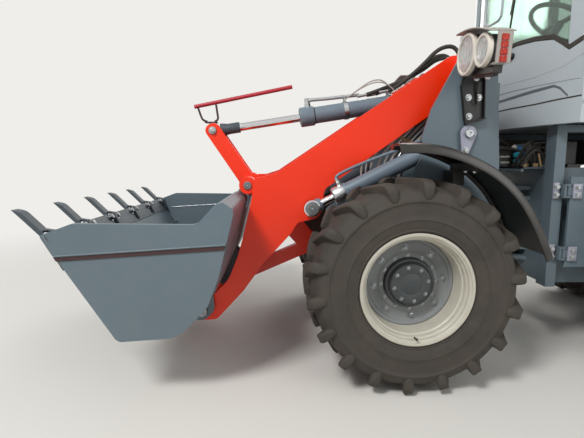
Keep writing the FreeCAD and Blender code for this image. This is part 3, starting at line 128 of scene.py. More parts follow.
def both_of(tree, operation, one, other):
    """Two values through one Math node."""
    return add(tree, "ShaderNodeMath", {0: one, 1: other}, operation=operation)


# Indices of the sockets of a Mix node set to colour
MIX_A, MIX_B, MIX_OUT = 6, 7, 2


def mixed(tree, share, one, other):
    """A colour between two, by a share."""
    return add(tree, "ShaderNodeMix", {0: share, MIX_A: one, MIX_B: other}, data_type="RGBA")


def relief(tree, surface, height, strength, distance, edge):
    """Fine relief in a skin, over edges that look rounded to a radius in metres."""
    soft = add(tree, "ShaderNodeBevel", {"Radius": edge}, samples=4)
    bump = add(tree, "ShaderNodeBump", {"Height": height, "Strength": strength, "Distance": distance,
                                        "Normal": soft.outputs["Normal"]})
    tree.links.new(bump.outputs["Normal"], surface.inputs["Normal"])


MATERIALS = {}


def begin(name, **shader):
    """A material with one Principled shader, its node tree and object coordinates."""
    material = bpy.data.materials.new(name)
    material.use_nodes = True
    tree = material.node_tree
    tree.nodes.clear()
    surface = add(tree, "ShaderNodeBsdfPrincipled", {k.replace("_", " "): v for k, v in shader.items()})
    add(tree, "ShaderNodeOutputMaterial", {"Surface": surface.outputs["BSDF"]})
    where = add(tree, "ShaderNodeTexCoord")
    MATERIALS[name] = material
    return tree, surface, where


def enamel(name, colour, roughness, dust, peel=0.04, dirt="#8F8474", edge=0.0025):
    """Sprayed machine enamel in a linear colour: faint orange peel, uneven gloss, dust on what faces up."""
    tree, surface, where = begin(name, Roughness=roughness, IOR=1.5)
    place = where.outputs["Object"]
    # Cloudy tone of a sprayed coat, patches about 400 mm across
    cloud = noise(tree, place, 2.5, 5.0)
    tone = remap(tree, cloud.outputs["Fac"], 0.35, 0.7, 0.0, 0.16)
    deep = [c * 0.55 for c in colour[:3]] + [1.0]
    coat = mixed(tree, tone.outputs["Result"], colour, deep)
    # Dust settles on upward faces and low down, in blotches about 60 mm across
    blotch = noise(tree, place, 16.0, 8.0, 0.7)
    facing = add(tree, "ShaderNodeSeparateXYZ", {"Vector": where.outputs["Normal"]})
    height = add(tree, "ShaderNodeSeparateXYZ", {"Vector": place})
    low = remap(tree, height.outputs["Z"], 1.1, 0.1, 0.25, 0.9)
    upward = remap(tree, facing.outputs["Z"], 0.2, 1.0, 0.0, 1.0)
    settle = both_of(tree, "MAXIMUM", low.outputs["Result"], upward.outputs["Result"])
    grain = remap(tree, blotch.outputs["Fac"], 0.42, 0.75, 0.0, dust)
    cover = both_of(tree, "MULTIPLY", settle.outputs[0], grain.outputs["Result"])
    dusty = mixed(tree, cover.outputs[0], coat.outputs[MIX_OUT], linear(dirt))
    dull = remap(tree, blotch.outputs["Fac"], 0.3, 0.8, roughness - 0.05, roughness + 0.16)
    # Orange peel is 2 to 3 mm across; rolled edges catch the light over a few millimetres
    skin = noise(tree, place, 320.0, 1.0)
    relief(tree, surface, skin.outputs["Fac"], peel, 0.002, edge)
    tree.links.new(dusty.outputs[MIX_OUT], surface.inputs["Base Color"])
    tree.links.new(dull.outputs["Result"], surface.inputs["Roughness"])


def rubber(name, colour, dust, scale):
    """Moulded rubber: matt, browned by dried mud in blotches, with a fine rough skin."""
    tree, surface, where = begin(name, Roughness=0.86, IOR=1.52)
    place = where.outputs["Object"]
    cake = noise(tree, place, scale, 9.0, 0.72)
    mask = remap(tree, cake.outputs["Fac"], 0.36, 0.72, 0.05, dust)
    skin = mixed(tree, mask.outputs["Result"], linear(colour), linear("#7D7264"))
    grit = noise(tree, place, 260.0, 4.0)
    relief(tree, surface, grit.outputs["Fac"], 0.25, 0.002, 0.003)
    gloss = remap(tree, cake.outputs["Fac"], 0.3, 0.7, 0.66, 0.92)
    tree.links.new(skin.outputs[MIX_OUT], surface.inputs["Base Color"])
    tree.links.new(gloss.outputs["Result"], surface.inputs["Roughness"])


def metal(name, colour, roughness, scale, stretch=(1.0, 1.0, 1.0)):
    """Bare or plated metal with fine tool marks and a little tarnish."""
    tree, surface, where = begin(name, Metallic=1.0, Roughness=roughness)
    spread = add(tree, "ShaderNodeMapping", {"Vector": where.outputs["Object"], "Scale": stretch})
    marks = noise(tree, spread.outputs["Vector"], scale, 5.0)
    stain = remap(tree, marks.outputs["Fac"], 0.35, 0.75, 0.0, 0.35)
    dark = [c * 0.55 for c in linear(colour)[:3]] + [1.0]
    tint = mixed(tree, stain.outputs["Result"], linear(colour), dark)
    shine = remap(tree, marks.outputs["Fac"], 0.3, 0.8, roughness * 0.8, roughness * 1.5)
    tree.links.new(tint.outputs[MIX_OUT], surface.inputs["Base Color"])
    tree.links.new(shine.outputs["Result"], surface.inputs["Roughness"])


def plastic(name, colour, roughness, grain=700.0, strength=0.12, dust=0.25):
    """Injection-moulded plastic with a spark-eroded grain, greyed by dust."""
    tree, surface, where = begin(name, Roughness=roughness, IOR=1.49)
    place = where.outputs["Object"]
    haze = noise(tree, place, 7.0, 6.0)
    mask = remap(tree, haze.outputs["Fac"], 0.4, 0.75, 0.02, dust)
    body = mixed(tree, mask.outputs["Result"], linear(colour), linear("#8B8275"))
    fine = noise(tree, place, grain, 2.0)
    relief(tree, surface, fine.outputs["Fac"], strength, 0.001, 0.002)
    tree.links.new(body.outputs[MIX_OUT], surface.inputs["Base Color"])


def clear(name, colour, roughness, transmission, facets=0.0):
    """Glass or a moulded lens; facets is the size of the lens pattern in metres."""
    tree, surface, where = begin(name, Base_Color=linear(colour), Roughness=roughness, IOR=1.45,
                                 Transmission_Weight=transmission)
    if facets:
        cell = add(tree, "ShaderNodeTexVoronoi", {"Vector": where.outputs["Object"], "Scale": 1.0 / facets})
        bump = add(tree, "ShaderNodeBump", {"Height": cell.outputs["Distance"], "Strength": 0.7,
                                            "Distance": 0.004})
        tree.links.new(bump.outputs["Normal"], surface.inputs["Normal"])
    else:
        film = noise(tree, where.outputs["Object"], 3.0, 7.0)
        veil = remap(tree, film.outputs["Fac"], 0.35, 0.8, roughness, roughness + 0.12)
        tree.links.new(veil.outputs["Result"], surface.inputs["Roughness"])


def finish(objects, name):
    """Give one material to every slot of each object."""
    for thing in objects:
        thing.data.materials.clear()
        thing.data.materials.append(MATERIALS[name])


def placed(name, data):
    """A new object in the scene."""
    thing = bpy.data.objects.new(name, data)
    bpy.context.scene.collection.objects.link(thing)
    return thing


def smoothed(mesh, degrees):
    """Shade a mesh smooth, apart from edges sharper than an angle; None leaves it flat."""
    if degrees is not None:
        mesh.shade_smooth()
        mesh.set_sharp_from_angle(angle=math.radians(degrees))


def piece(name, mesh, material, body, smooth=None):
    """A named object of one material that rides on a body. smooth is the sharp-edge angle in degrees."""
    thing = placed(name, mesh)
    finish([thing], material)
    smoothed(mesh, smooth)
    if body:
        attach(thing, body)
    return thing


def to_mesh(name, work):
    """Finish a bmesh: weld, point the faces outwards and return its mesh."""
    bmesh.ops.remove_doubles(work, verts=work.verts, dist=WELD)
    bmesh.ops.recalc_face_normals(work, faces=work.faces)
    mesh = bpy.data.meshes.new(name)
    work.to_mesh(mesh)
    work.free()
    return mesh


def turned(name, profile, steps, centre, axis):
    """A closed profile of (along, radius) in millimetres turned about an axis through centre."""
    work = bmesh.new()
    aim = Vector(axis).normalized()
    side = aim.orthogonal().normalized()
    other = aim.cross(side)
    rings = []
    for index in range(steps):
        angle = 2 * math.pi * index / steps
        spoke = side * math.cos(angle) + other * math.sin(angle)
        rings.append([work.verts.new(Vector(centre) + (aim * along + spoke * radius) * MM)
                      for along, radius in profile])
    count = len(profile)
    for index in range(steps):
        here, there = rings[index], rings[(index + 1) % steps]
        for k in range(count):
            after = (k + 1) % count
            if max(profile[k][1], profile[after][1]) < ON_AXIS:
                continue
            work.faces.new([here[k], here[after], there[after], there[k]])
    bmesh.ops.remove_doubles(work, verts=work.verts, dist=WELD)
    bmesh.ops.dissolve_degenerate(work, dist=1e-6, edges=work.edges)
    return to_mesh(name, work)


def lathe(name, profile, steps, centre, axis, material, body, smooth=None):
    """One piece turned from a closed profile."""
    return piece(name, turned(name, profile, steps, centre, axis), material, body, smooth)


def slab(work, outline, low, high, plane="xz", bevel=0.0):
    """Add a plate to a bmesh: an outline in millimetres, between two offsets across it."""
    def spot(a, b, c):
        return Vector({"xz": (a, c, b), "xy": (a, b, c), "yz": (c, a, b)}[plane]) * MM
    rows = [[work.verts.new(spot(a, b, c)) for a, b in outline] for c in (low, high)]
    new = [work.faces.new(rows[0]), work.faces.new(rows[1][::-1])]
    count = len(outline)
    for k in range(count):
        new.append(work.faces.new([rows[0][k], rows[0][(k + 1) % count], rows[1][(k + 1) % count],
                                   rows[1][k]]))
    bmesh.ops.recalc_face_normals(work, faces=new)
    if bevel:
        edges = list(dict.fromkeys(edge for face in new for edge in face.edges))
        bmesh.ops.bevel(work, geom=edges, offset=bevel * MM, segments=2, affect="EDGES", clamp_overlap=True)


def block(work, x, y, z, bevel=0.0):
    """Add a box to a bmesh from its limits in millimetres."""
    slab(work, [(x[0], z[0]), (x[1], z[0]), (x[1], z[1]), (x[0], z[1])], y[0], y[1], "xz", bevel)


def boxes(name, limits, material, body, sign=1):
    """One piece from several boxes: x, y and z limits and bevel of each. sign mirrors them across Y."""
    work = bmesh.new()
    for x, y, z, bevel in limits:
        block(work, x, sorted(v * sign for v in y), z, bevel)
    return piece(name, to_mesh(name, work), material, body)


def plate_piece(name, outlines, material, body, plane="xz", bevel=1.5):
    """One piece from several plates, each (outline, low, high)."""
    work = bmesh.new()
    for outline, low, high in outlines:
        slab(work, outline, low, high, plane, bevel)
    return piece(name, to_mesh(name, work), material, body)


def arc(x, z, radius, first, sweep, steps, height=None):
    """Points of x and z on part of a circle, or of an ellipse with its own height, from angles in degrees."""
    turns = [math.radians(first + sweep * k / steps) for k in range(steps + 1)]
    return [(x + radius * math.cos(a), z + (height or radius) * math.sin(a)) for a in turns]


def rod(work, start, end, radius, sides=16):
    """Add a round bar to a bmesh between two points in millimetres."""
    a, b = Vector(start) * MM, Vector(end) * MM
    run = b - a
    turn = run.to_track_quat("Z", "Y").to_matrix().to_4x4()
    at = Matrix.Translation((a + b) / 2) @ turn
    bmesh.ops.create_cone(work, cap_ends=True, segments=sides, radius1=radius * MM, radius2=radius * MM,
                          depth=run.length, matrix=at)


# Stretches of a curve between two of its points
HOSE_STEPS = 10
GUARD_STEPS = 12


def evaluated(thing):
    """The mesh that an object shows, as plain data."""
    graph = bpy.context.evaluated_depsgraph_get()
    return bpy.data.meshes.new_from_object(thing.evaluated_get(graph))


def swept(name, points, resolution, **settings):
    """The mesh of a smooth curve near points in metres."""
    data = bpy.data.curves.new(name, "CURVE")
    data.dimensions = "3D"
    data.resolution_u = resolution
    for key, value in settings.items():
        setattr(data, key, value)
    spline = data.splines.new("NURBS")
    spline.points.add(len(points) - 1)
    for spot, point in zip(spline.points, points):
        spot.co = (*point, 1.0)
    spline.order_u = 3
    spline.use_endpoint_u = True
    curve = placed(name + "_curve", data)
    mesh = evaluated(curve)
    bpy.data.objects.remove(curve)
    return mesh


def hose(name, points, radius, material, body, sides=6, blend=None, sign=1):
    """A bent hose, pipe or cable along points in millimetres; sign mirrors it across Y."""
    mesh = swept(name, [(x * MM, y * sign * MM, z * MM) for x, y, z in points], HOSE_STEPS,
                 bevel_depth=radius * MM, bevel_resolution=sides, use_fill_caps=True)
    thing = piece(name, mesh, material, None if blend else body, smooth=50)
    if blend:
        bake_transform(thing)


def tree_with(name, inputs):
    """A geometry tree with named inputs and one geometry output; returns it and its input node."""
    tree = bpy.data.node_groups.new(name, "GeometryNodeTree")
    tree.interface.new_socket(name="Geometry", in_out="INPUT", socket_type="NodeSocketGeometry")
    for label, kind in inputs:
        tree.interface.new_socket(name=label, in_out="INPUT", socket_type=kind)
    tree.interface.new_socket(name="Geometry", in_out="OUTPUT", socket_type="NodeSocketGeometry")
    return tree, add(tree, "NodeGroupInput")


def close_tree(tree, geometry, material):
    """End a geometry tree in Realize Instances and Set Material."""
    real = add(tree, "GeometryNodeRealizeInstances", {"Geometry": geometry})
    painted = add(tree, "GeometryNodeSetMaterial", {"Geometry": real.outputs[0], "Material": material})
    add(tree, "NodeGroupOutput", {"Geometry": painted.outputs[0]})


def ring_tree():
    """Copies of one shape at equal angles about the wheel's own axis, joined with the host."""
    tree, given = tree_with("ring_of_copies",
                            [("Count", "NodeSocketInt"), ("Phase", "NodeSocketFloat"),
                             ("Shape", "NodeSocketObject"), ("Material", "NodeSocketMaterial")])
    spots = add(tree, "GeometryNodeMeshLine", {"Count": given.outputs["Count"], "Offset": (0.0, 0.0, 0.0)})
    index = add(tree, "GeometryNodeInputIndex")
    share = both_of(tree, "DIVIDE", index.outputs[0], given.outputs["Count"])
    turn = add(tree, "ShaderNodeMath", {0: share.outputs[0], 1: 2 * math.pi, 2: given.outputs["Phase"]},
               operation="MULTIPLY_ADD")
    about_y = add(tree, "ShaderNodeCombineXYZ", {"Y": turn.outputs[0]})
    shape = add(tree, "GeometryNodeObjectInfo", {"Object": given.outputs["Shape"]})
    copies = add(tree, "GeometryNodeInstanceOnPoints",
                 {"Points": spots.outputs[0], "Instance": shape.outputs["Geometry"],
                  "Rotation": about_y.outputs[0]})
    both = add(tree, "GeometryNodeJoinGeometry")
    tree.links.new(given.outputs["Geometry"], both.inputs[0])
    tree.links.new(copies.outputs[0], both.inputs[0])
    close_tree(tree, both.outputs[0], given.outputs["Material"])
    return tree


def row_tree():
    """Copies of one shape in a straight row."""
    tree, given = tree_with("row_of_copies", [("Count", "NodeSocketInt"), ("Start", "NodeSocketVector"),
                                              ("Step", "NodeSocketVector"), ("Shape", "NodeSocketObject"),
                                              ("Material", "NodeSocketMaterial")])
    spots = add(tree, "GeometryNodeMeshLine",
                {"Count": given.outputs["Count"], "Start Location": given.outputs["Start"],
                 "Offset": given.outputs["Step"]})
    shape = add(tree, "GeometryNodeObjectInfo", {"Object": given.outputs["Shape"]})
    copies = add(tree, "GeometryNodeInstanceOnPoints",
                 {"Points": spots.outputs[0], "Instance": shape.outputs["Geometry"]})
    close_tree(tree, copies.outputs[0], given.outputs["Material"])
    return tree


def scatter_tree():
    """Copies of one shape on the host's points, aimed and sized by its attributes."""
    tree, given = tree_with("fasteners_on_points",
                            [("Shape", "NodeSocketObject"), ("Material", "NodeSocketMaterial")])
    aim = add(tree, "GeometryNodeInputNamedAttribute", {"Name": "aim"}, data_type="FLOAT_VECTOR")
    size = add(tree, "GeometryNodeInputNamedAttribute", {"Name": "size"}, data_type="FLOAT")
    spots = add(tree, "GeometryNodeMeshToPoints", {"Mesh": given.outputs["Geometry"]})
    turn = add(tree, "FunctionNodeAlignRotationToVector", {"Vector": aim.outputs["Attribute"]}, axis="Z")
    shape = add(tree, "GeometryNodeObjectInfo", {"Object": given.outputs["Shape"]})
    copies = add(tree, "GeometryNodeInstanceOnPoints",
                 {"Points": spots.outputs[0], "Instance": shape.outputs["Geometry"],
                  "Rotation": turn.outputs[0], "Scale": size.outputs["Attribute"]})
    close_tree(tree, copies.outputs[0], given.outputs["Material"])
    return tree


TREES = {}


def grow(thing, tree_name, values):
    """Run a geometry tree on an object, keep the result as a plain mesh and drop the modifier."""
    makers = {"ring": ring_tree, "row": row_tree, "scatter": scatter_tree}
    if tree_name not in TREES:
        TREES[tree_name] = makers[tree_name]()
    tree = TREES[tree_name]
    modifier = thing.modifiers.new(tree_name, "NODES")
    modifier.node_group = tree
    for item in tree.interface.items_tree:
        if item.in_out == "INPUT" and item.name in values:
            modifier[item.identifier] = values[item.name]
    mesh = evaluated(thing)
    thing.modifiers.clear()
    thing.data = mesh


def copies_of(mesh, host, tree_name, material, smooth=None, **values):
    """Grow copies of a mesh on a host object through a geometry tree."""
    smoothed(mesh, smooth)
    shape = placed(mesh.name + "_shape", mesh)
    grow(host, tree_name, {**values, "Shape": shape, "Material": MATERIALS[material]})
    bpy.data.objects.remove(shape)


def carried(thing, body):
    """Let a grown object ride on its body."""
    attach(thing, body)


def hex_bolt():
    """A hexagon bolt head on a washer, for an 18 mm spanner, standing on the XY plane."""
    work = bmesh.new()
    # Washer, head and the chamfer on top: sides, foot radius, top radius, depth, height of the middle
    for sides, foot, top, depth, middle in ((20, 0.0145, 0.0145, 0.0025, 0.00125),
                                            (6, 0.0104, 0.0104, 0.0075, 0.0062),
                                            (6, 0.0104, 0.0075, 0.0015, 0.0107)):
        bmesh.ops.create_cone(work, cap_ends=True, segments=sides, radius1=foot, radius2=top, depth=depth,
                              matrix=Matrix.Translation((0, 0, middle)))
    return to_mesh("hex_bolt", work)


def fasteners(name, places, material, body):
    """Bolts at (x, y, z) in millimetres, each with the direction it faces and its size."""
    mesh = bpy.data.meshes.new(name)
    mesh.from_pydata([Vector(at) * MM for at, _, _ in places], [], [])
    mesh.attributes.new("aim", "FLOAT_VECTOR", "POINT")
    mesh.attributes.new("size", "FLOAT", "POINT")
    for index, (_, facing, scale) in enumerate(places):
        mesh.attributes["aim"].data[index].vector = facing
        mesh.attributes["size"].data[index].value = scale
    host = placed(name, mesh)
    copies_of(hex_bolt(), host, "scatter", material)
    carried(host, body)


def row(name, mesh, count, start, step, material, body):
    """A row of copies of a mesh, by Geometry Nodes, as one piece. Sizes are in millimetres."""
    host = placed(name, bpy.data.meshes.new(name))
    copies_of(mesh, host, "row", material, Count=count, Start=Vector(start) * MM, Step=Vector(step) * MM)
    carried(host, body)


def shift(mesh, x, y, z):
    """Move a mesh in its own data, in metres, so its object stays at the origin."""
    mesh.transform(Matrix.Translation((x, y, z)))


class LoaderSizes(bpy.types.PropertyGroup):
    """Sizes and colours that someone restyling the loader would change."""

    lugs: bpy.props.IntProperty(name="Lugs", description="Lugs on each side of a tyre", default=18, min=8)
    wheel_nuts: bpy.props.IntProperty(name="Wheel nuts", description="Nuts that hold a rim", default=8, min=4)
    hose_radius: bpy.props.FloatProperty(name="Hose radius", description="Outer radius of a hydraulic hose",
                                         default=0.013, subtype="DISTANCE", unit="LENGTH")
    boom_colour: bpy.props.FloatVectorProperty(name="Boom colour",
                                               description="Enamel of the boom and the hood",
                                               subtype="COLOR", size=3, default=linear("#F53000")[:3])


class LOADER_OT_finishes(bpy.types.Operator):
    """Make the materials and paint the carried-over frame"""

    bl_idname = "loader.finishes"
    bl_label = "Finishes"

    def execute(self, context):
        # Two-part polyurethane enamel in orange-red: wet gloss, little dust on the high boom
        enamel("boom_enamel", [*context.scene.loader_sizes.boom_colour, 1.0], 0.34, 0.03)
        # The same enamel in slate grey on the bucket, frames and tower, satin and dustier
        enamel("slate_enamel", linear("#5C6B73"), 0.42, 0.16)
        # Bucket edge and teeth: hardened plate under a darker thin coat
        enamel("edge_enamel", linear("#3B454C"), 0.42, 0.14, peel=0.12)
        # Silver-grey cab enamel, smoother than the frame's
        enamel("cab_enamel", linear("#B0B8BC"), 0.34, 0.12)
        # Painted shade: the same enamel darkened where a pressed groove lies in its own shadow
        enamel("cab_groove_enamel", linear("#5F646B"), 0.45, 0.1)
        # Cylinder tubes: slate enamel on drawn tube
        enamel("tube_enamel", linear("#6C7A86"), 0.34, 0.12)
        # Crimson enamel of the bucket level rail, and its nearly black brackets, whose enamel also paints the
        # shadow under the bucket's wear plate
        enamel("rail_enamel", linear("#A81226"), 0.4, 0.05)
        enamel("bracket_enamel", linear("#3A2024"), 0.45, 0.1)
        # Stone-grey enamel on the pressed rims, dusty in the step
        enamel("rim_enamel", linear("#BAB6A8"), 0.42, 0.3, edge=0.002)
        # The wheel discs carry the same enamel, darkened as painted shade for the shadow deep inside the rim
        enamel("disc_enamel", linear("#777B7C"), 0.48, 0.25, edge=0.002)
        # Dark grey enamel on the cast hubs
        enamel("hub_enamel", linear("#34393B"), 0.46, 0.12, peel=0.2)
        # Loader tyre compound: warm dark grey, caked with dry mud
        rubber("tyre_rubber", "#23201D", 0.26, 5.0)
        # Black wrapped hydraulic hose and door seals
        rubber("hose_rubber", "#1B1B1B", 0.25, 12.0)
        # Hard chrome on the rods: nearly a mirror, with long fine lines
        metal("hard_chrome", "#D5D7DA", 0.08, 90.0, (0.3, 6.0, 6.0))
        # Zinc-plated bolts and hose ends: soft grey shine
        metal("zinc_plate", "#B9BCBE", 0.32, 60.0)
        # Turned pins, ground and lightly oiled
        metal("ground_steel", "#8E9194", 0.28, 80.0)
        # Exhaust stack: mild steel blued and browned by heat
        metal("hot_steel", "#6A5B50", 0.48, 14.0)
        # Black polyethylene of the mudguards and the small mouldings
        plastic("black_moulding", "#171716", 0.30, 420.0, 0.08, 0.12)
        # Grained ABS of the cab's inside and the grille
        plastic("dark_abs", "#232527", 0.55, 600.0, 0.3, 0.15)
        # Grey reinforced nylon of the lamp cases, paler on the visors
        plastic("lamp_nylon", "#5E5E62", 0.5, 600.0, 0.25, 0.15)
        plastic("visor_nylon", "#A39C95", 0.45, 600.0, 0.2, 0.1)
        # Pale polycarbonate ring round each lens
        plastic("lamp_ring", "#D9D3C6", 0.25, 300.0, 0.05, 0.05)
        # Tan polypropylene of the hose ties and pipe blocks
        plastic("pipe_block_tan", "#A58962", 0.5, 500.0, 0.15, 0.2)
        # Painted castings of the engine, and black enamel on the valve block and the lamp brackets, also used
        # as painted shade on the sheet in the pump bay
        enamel("cast_enamel", linear("#26292B"), 0.55, 0.3, peel=0.35)
        enamel("valve_enamel", linear("#141516"), 0.4, 0.12, peel=0.25)
        # Bright plastic caps on the valve's ports
        plastic("cap_blue", "#1479B8", 0.35, 500.0, 0.05, 0.05)
        plastic("cap_cyan", "#29B7CF", 0.35, 500.0, 0.05, 0.05)
        # Lavender-grey enamel of the hatch hinges and the pin keepers
        enamel("hinge_enamel", linear("#9A9BAA"), 0.4, 0.12)
        # Green-tinted toughened glass
        clear("cab_glass_green", "#BFD2C8", 0.02, 0.90)
        # Fluted polycarbonate lens, hazed
        clear("lamp_lens", "#F4F6F4", 0.12, 0.80, 0.012)
        # Red-orange prismatic reflector and the tail lamps' red
        clear("reflector_red", "#C22A16", 0.18, 0.25, 0.009)
        # Amber moulded lens of the turn signals
        clear("lens_amber", "#E07A12", 0.15, 0.35, 0.007)
        # Black vinyl seat, grained like leather
        plastic("seat_vinyl", "#1D1D1F", 0.5, 240.0, 0.35, 0.1)
        names = {
            "boom_enamel": ["boom", "rocker", "link", "hood", "rocker_pin", "bucket_pins"],
            "slate_enamel": ["bucket_shell", "bucket_sides", "front_chassis", "rear_chassis", "counterweight",
                             "steps_and_tanks", "front_axle", "rear_axle", "tow_hitch", "hatch_left",
                             "hatch_right"],
            "edge_enamel": ["cutting_edge"],
            "cab_enamel": ["cab_floor", "cab_front", "cab_left", "cab_right", "cab_rear", "cab_roof",
                           "cab_door", "mirrors_and_rails"],
            "tube_enamel": ["tilt_barrel", "lift_left_barrel", "lift_right_barrel", "steer_left_barrel",
                            "steer_right_barrel"],
            "hard_chrome": ["tilt_rod", "lift_left_rod", "lift_right_rod", "steer_left_rod",
                            "steer_right_rod"],
            "ground_steel": ["link_pin"],
            "rail_enamel": ["level_rail"],
            "rim_enamel": ["rim_front_left", "rim_front_right", "rim_rear_left", "rim_rear_right"],
            "tyre_rubber": ["tyre_front_left", "tyre_front_right", "tyre_rear_left", "tyre_rear_right"],
            "black_moulding": ["front_fenders", "rear_fenders"],
            "dark_abs": ["controls", "radiator_grille"],
            "cab_glass_green": ["cab_glass", "cab_door_glass"],
            "reflector_red": ["rear_lamps"],
            "lamp_nylon": ["headlamps"],
            "seat_vinyl": ["seat"],
            "cast_enamel": ["powertrain"],
            "valve_enamel": ["control_valve", "lamp_brackets"],
            "hot_steel": ["exhaust"],
        }
        for material, nodes in names.items():
            finish([frame["nodes"][node] for node in nodes], material)
        return {"FINISHED"}


# Half profile of the tyre from the bead over the sidewall to the crown: (from the middle plane, radius)
TYRE_HALF = [
    (150, 262), (172, 264), (181, 272), (184, 284), (188, 291), (191, 291), (193, 296), (191, 301),
    (195, 312), (200, 330), (203, 345), (206, 347), (206, 352), (204, 355), (206, 380), (206, 405),
    (204, 425), (206, 430), (209, 433), (209, 441), (205, 445), (200, 462), (192, 478), (176, 491),
    (150, 500), (100, 507), (50, 511),
]

# One lug from the crown to the sidewall: top y and radius, base y and radius, shift along the tread,
# half width of the top and of the base
LUG_STATIONS = [
    (-8, 543.5, -8, 498, 60, 15, 23),
    (30, 544.0, 30, 498, 44, 17, 26),
    (75, 544.0, 75, 496, 22, 19, 29),
    (120, 543.0, 118, 490, -2, 21, 32),
    (158, 541.0, 148, 484, -20, 23, 34),
    (188, 536.0, 166, 474, -29, 25, 36),
    (207, 520.0, 176, 466, -33, 26, 37),
    (214, 496.0, 184, 456, -34, 24, 35),
    (213, 468.0, 188, 444, -34, 19, 29),
    (209, 446.0, 192, 436, -34, 11, 20),
]


def lug_mesh(mirror):
    """One bar lug with drafted flanks, a notch in its shoulder end and rounded edges."""
    work = bmesh.new()
    rings = []
    for top_y, top_r, base_y, base_r, along, top_half, base_half in LUG_STATIONS:
        ring = []
        for y, radius, offset in ((base_y, base_r, -base_half), (top_y, top_r, -top_half),
                                  (top_y, top_r, top_half), (base_y, base_r, base_half)):
            angle = (along + offset) / (TYRE_R / MM)
            ring.append(work.verts.new(Vector((radius * math.sin(angle), y * mirror,
                                               radius * math.cos(angle))) * MM))
        rings.append(ring)
    for here, there in zip(rings, rings[1:]):
        for k in range(3):
            work.faces.new([here[k], here[k + 1], there[k + 1], there[k]])
    work.faces.new(rings[0])
    work.faces.new(rings[-1][::-1])
    crest = [edge for edge in work.edges if any(edge.verts[0] in (r[1], r[2]) for r in rings)
             and any(edge.verts[1] in (r[1], r[2]) for r in rings)]
    bmesh.ops.bevel(work, geom=crest, offset=0.0045, segments=1, affect="EDGES", clamp_overlap=True)
    bmesh.ops.recalc_face_normals(work, faces=work.faces)
    return to_mesh("lug", work)


class LOADER_OT_tyres(bpy.types.Operator):
    """Mould the four tyres with their ribs and two rows of lugs"""

    bl_idname = "loader.tyres"
    bl_label = "Tyres"

    def execute(self, context):
        lugs = context.scene.loader_sizes.lugs
        outline = TYRE_HALF + [(-y, r) for y, r in reversed(TYRE_HALF)]
        for end, x in (("front", FRONT_X), ("rear", REAR_X)):
            for side, sign in SIDES:
                name = f"tyre_moulded_{end}_{side}"
                carcass = turned(name, outline, 108, (0, 0, 0), (0, 1, 0))
                smoothed(carcass, 40)
                tyre = placed(name, carcass)
                for mirror, phase in ((1, 0.0), (-1, math.pi / lugs)):
                    copies_of(lug_mesh(mirror), tyre, "ring", "tyre_rubber", 35, Count=lugs, Phase=phase)
                shift(tyre.data, x, WHEEL_Y * sign, TYRE_R)
                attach(tyre, f"wheel_{end}_{side}")
                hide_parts(f"tyre_{end}_{side}")
        return {"FINISHED"}


RIM_PROFILE = [
    (-193, 268), (-187, 281), (-176, 277), (-166, 262), (-150, 261), (-60, 258), (60, 258), (150, 261),
    (166, 262), (176, 277), (184, 282), (191, 283), (195, 280), (196, 274), (194, 268), (188, 265),
    (186, 259), (182, 256), (166, 255), (160, 249), (154, 247), (136, 246), (130, 239), (120, 237),
    (60, 236), (36, 234), (24, 228), (14, 228), (16, 240), (0, 248), (-60, 250), (-150, 251), (-170, 256),
    (-184, 262),
]

# Pressed disc between the rim's barrel and the hub
DISC_PROFILE = [
    (6, 234), (40, 234), (42, 226), (38, 216), (26, 208), (22, 196), (26, 166), (30, 158), (34, 152),
    (34, 132), (0, 132), (0, 190), (4, 220),
]

# Cast drum and planetary cover of the hub
HUB_PROFILE = [
    (0, 131), (28, 131), (48, 130), (56, 127), (60, 126), (62, 116), (60, 112), (74, 108), (82, 104),
    (85, 98), (85, 60), (83, 56), (85, 52), (85, 0), (-60, 0), (-60, 120), (0, 120),
]


# Turned pieces of a wheel: first part of the name, profile, steps, material and sharp-edge angle
WHEEL_PARTS = (
    ("rim_pressed_", RIM_PROFILE, 120, "rim_enamel", 38),
    ("rim_disc_", DISC_PROFILE, 96, "disc_enamel", 32),
    ("hub_cast_", HUB_PROFILE, 96, "hub_enamel", 32),
)


def on_wheel(mesh, centre, sign):
    """Move a mesh from the origin to a wheel, turned about for the right side."""
    if sign < 0:
        mesh.transform(Matrix.Rotation(math.pi, 4, "Z"))
    shift(mesh, *centre)


def ring_of(name, mesh, count, phase, centre, sign, material, body):
    """A ring of copies about a wheel's axis, as one piece."""
    host = placed(name, bpy.data.meshes.new(name))
    copies_of(mesh, host, "ring", material, Count=count, Phase=phase)
    on_wheel(host.data, centre, sign)
    carried(host, body)


def bolt_on_disc(radius, out, size):
    """A bolt mesh standing outwards on a wheel disc, at a radius and a distance in millimetres."""
    mesh = hex_bolt()
    mesh.transform(Matrix.Translation((0, out * MM, radius * MM)) @ Matrix.Rotation(-math.pi / 2, 4, "X")
                   @ Matrix.Scale(size, 4))
    return mesh


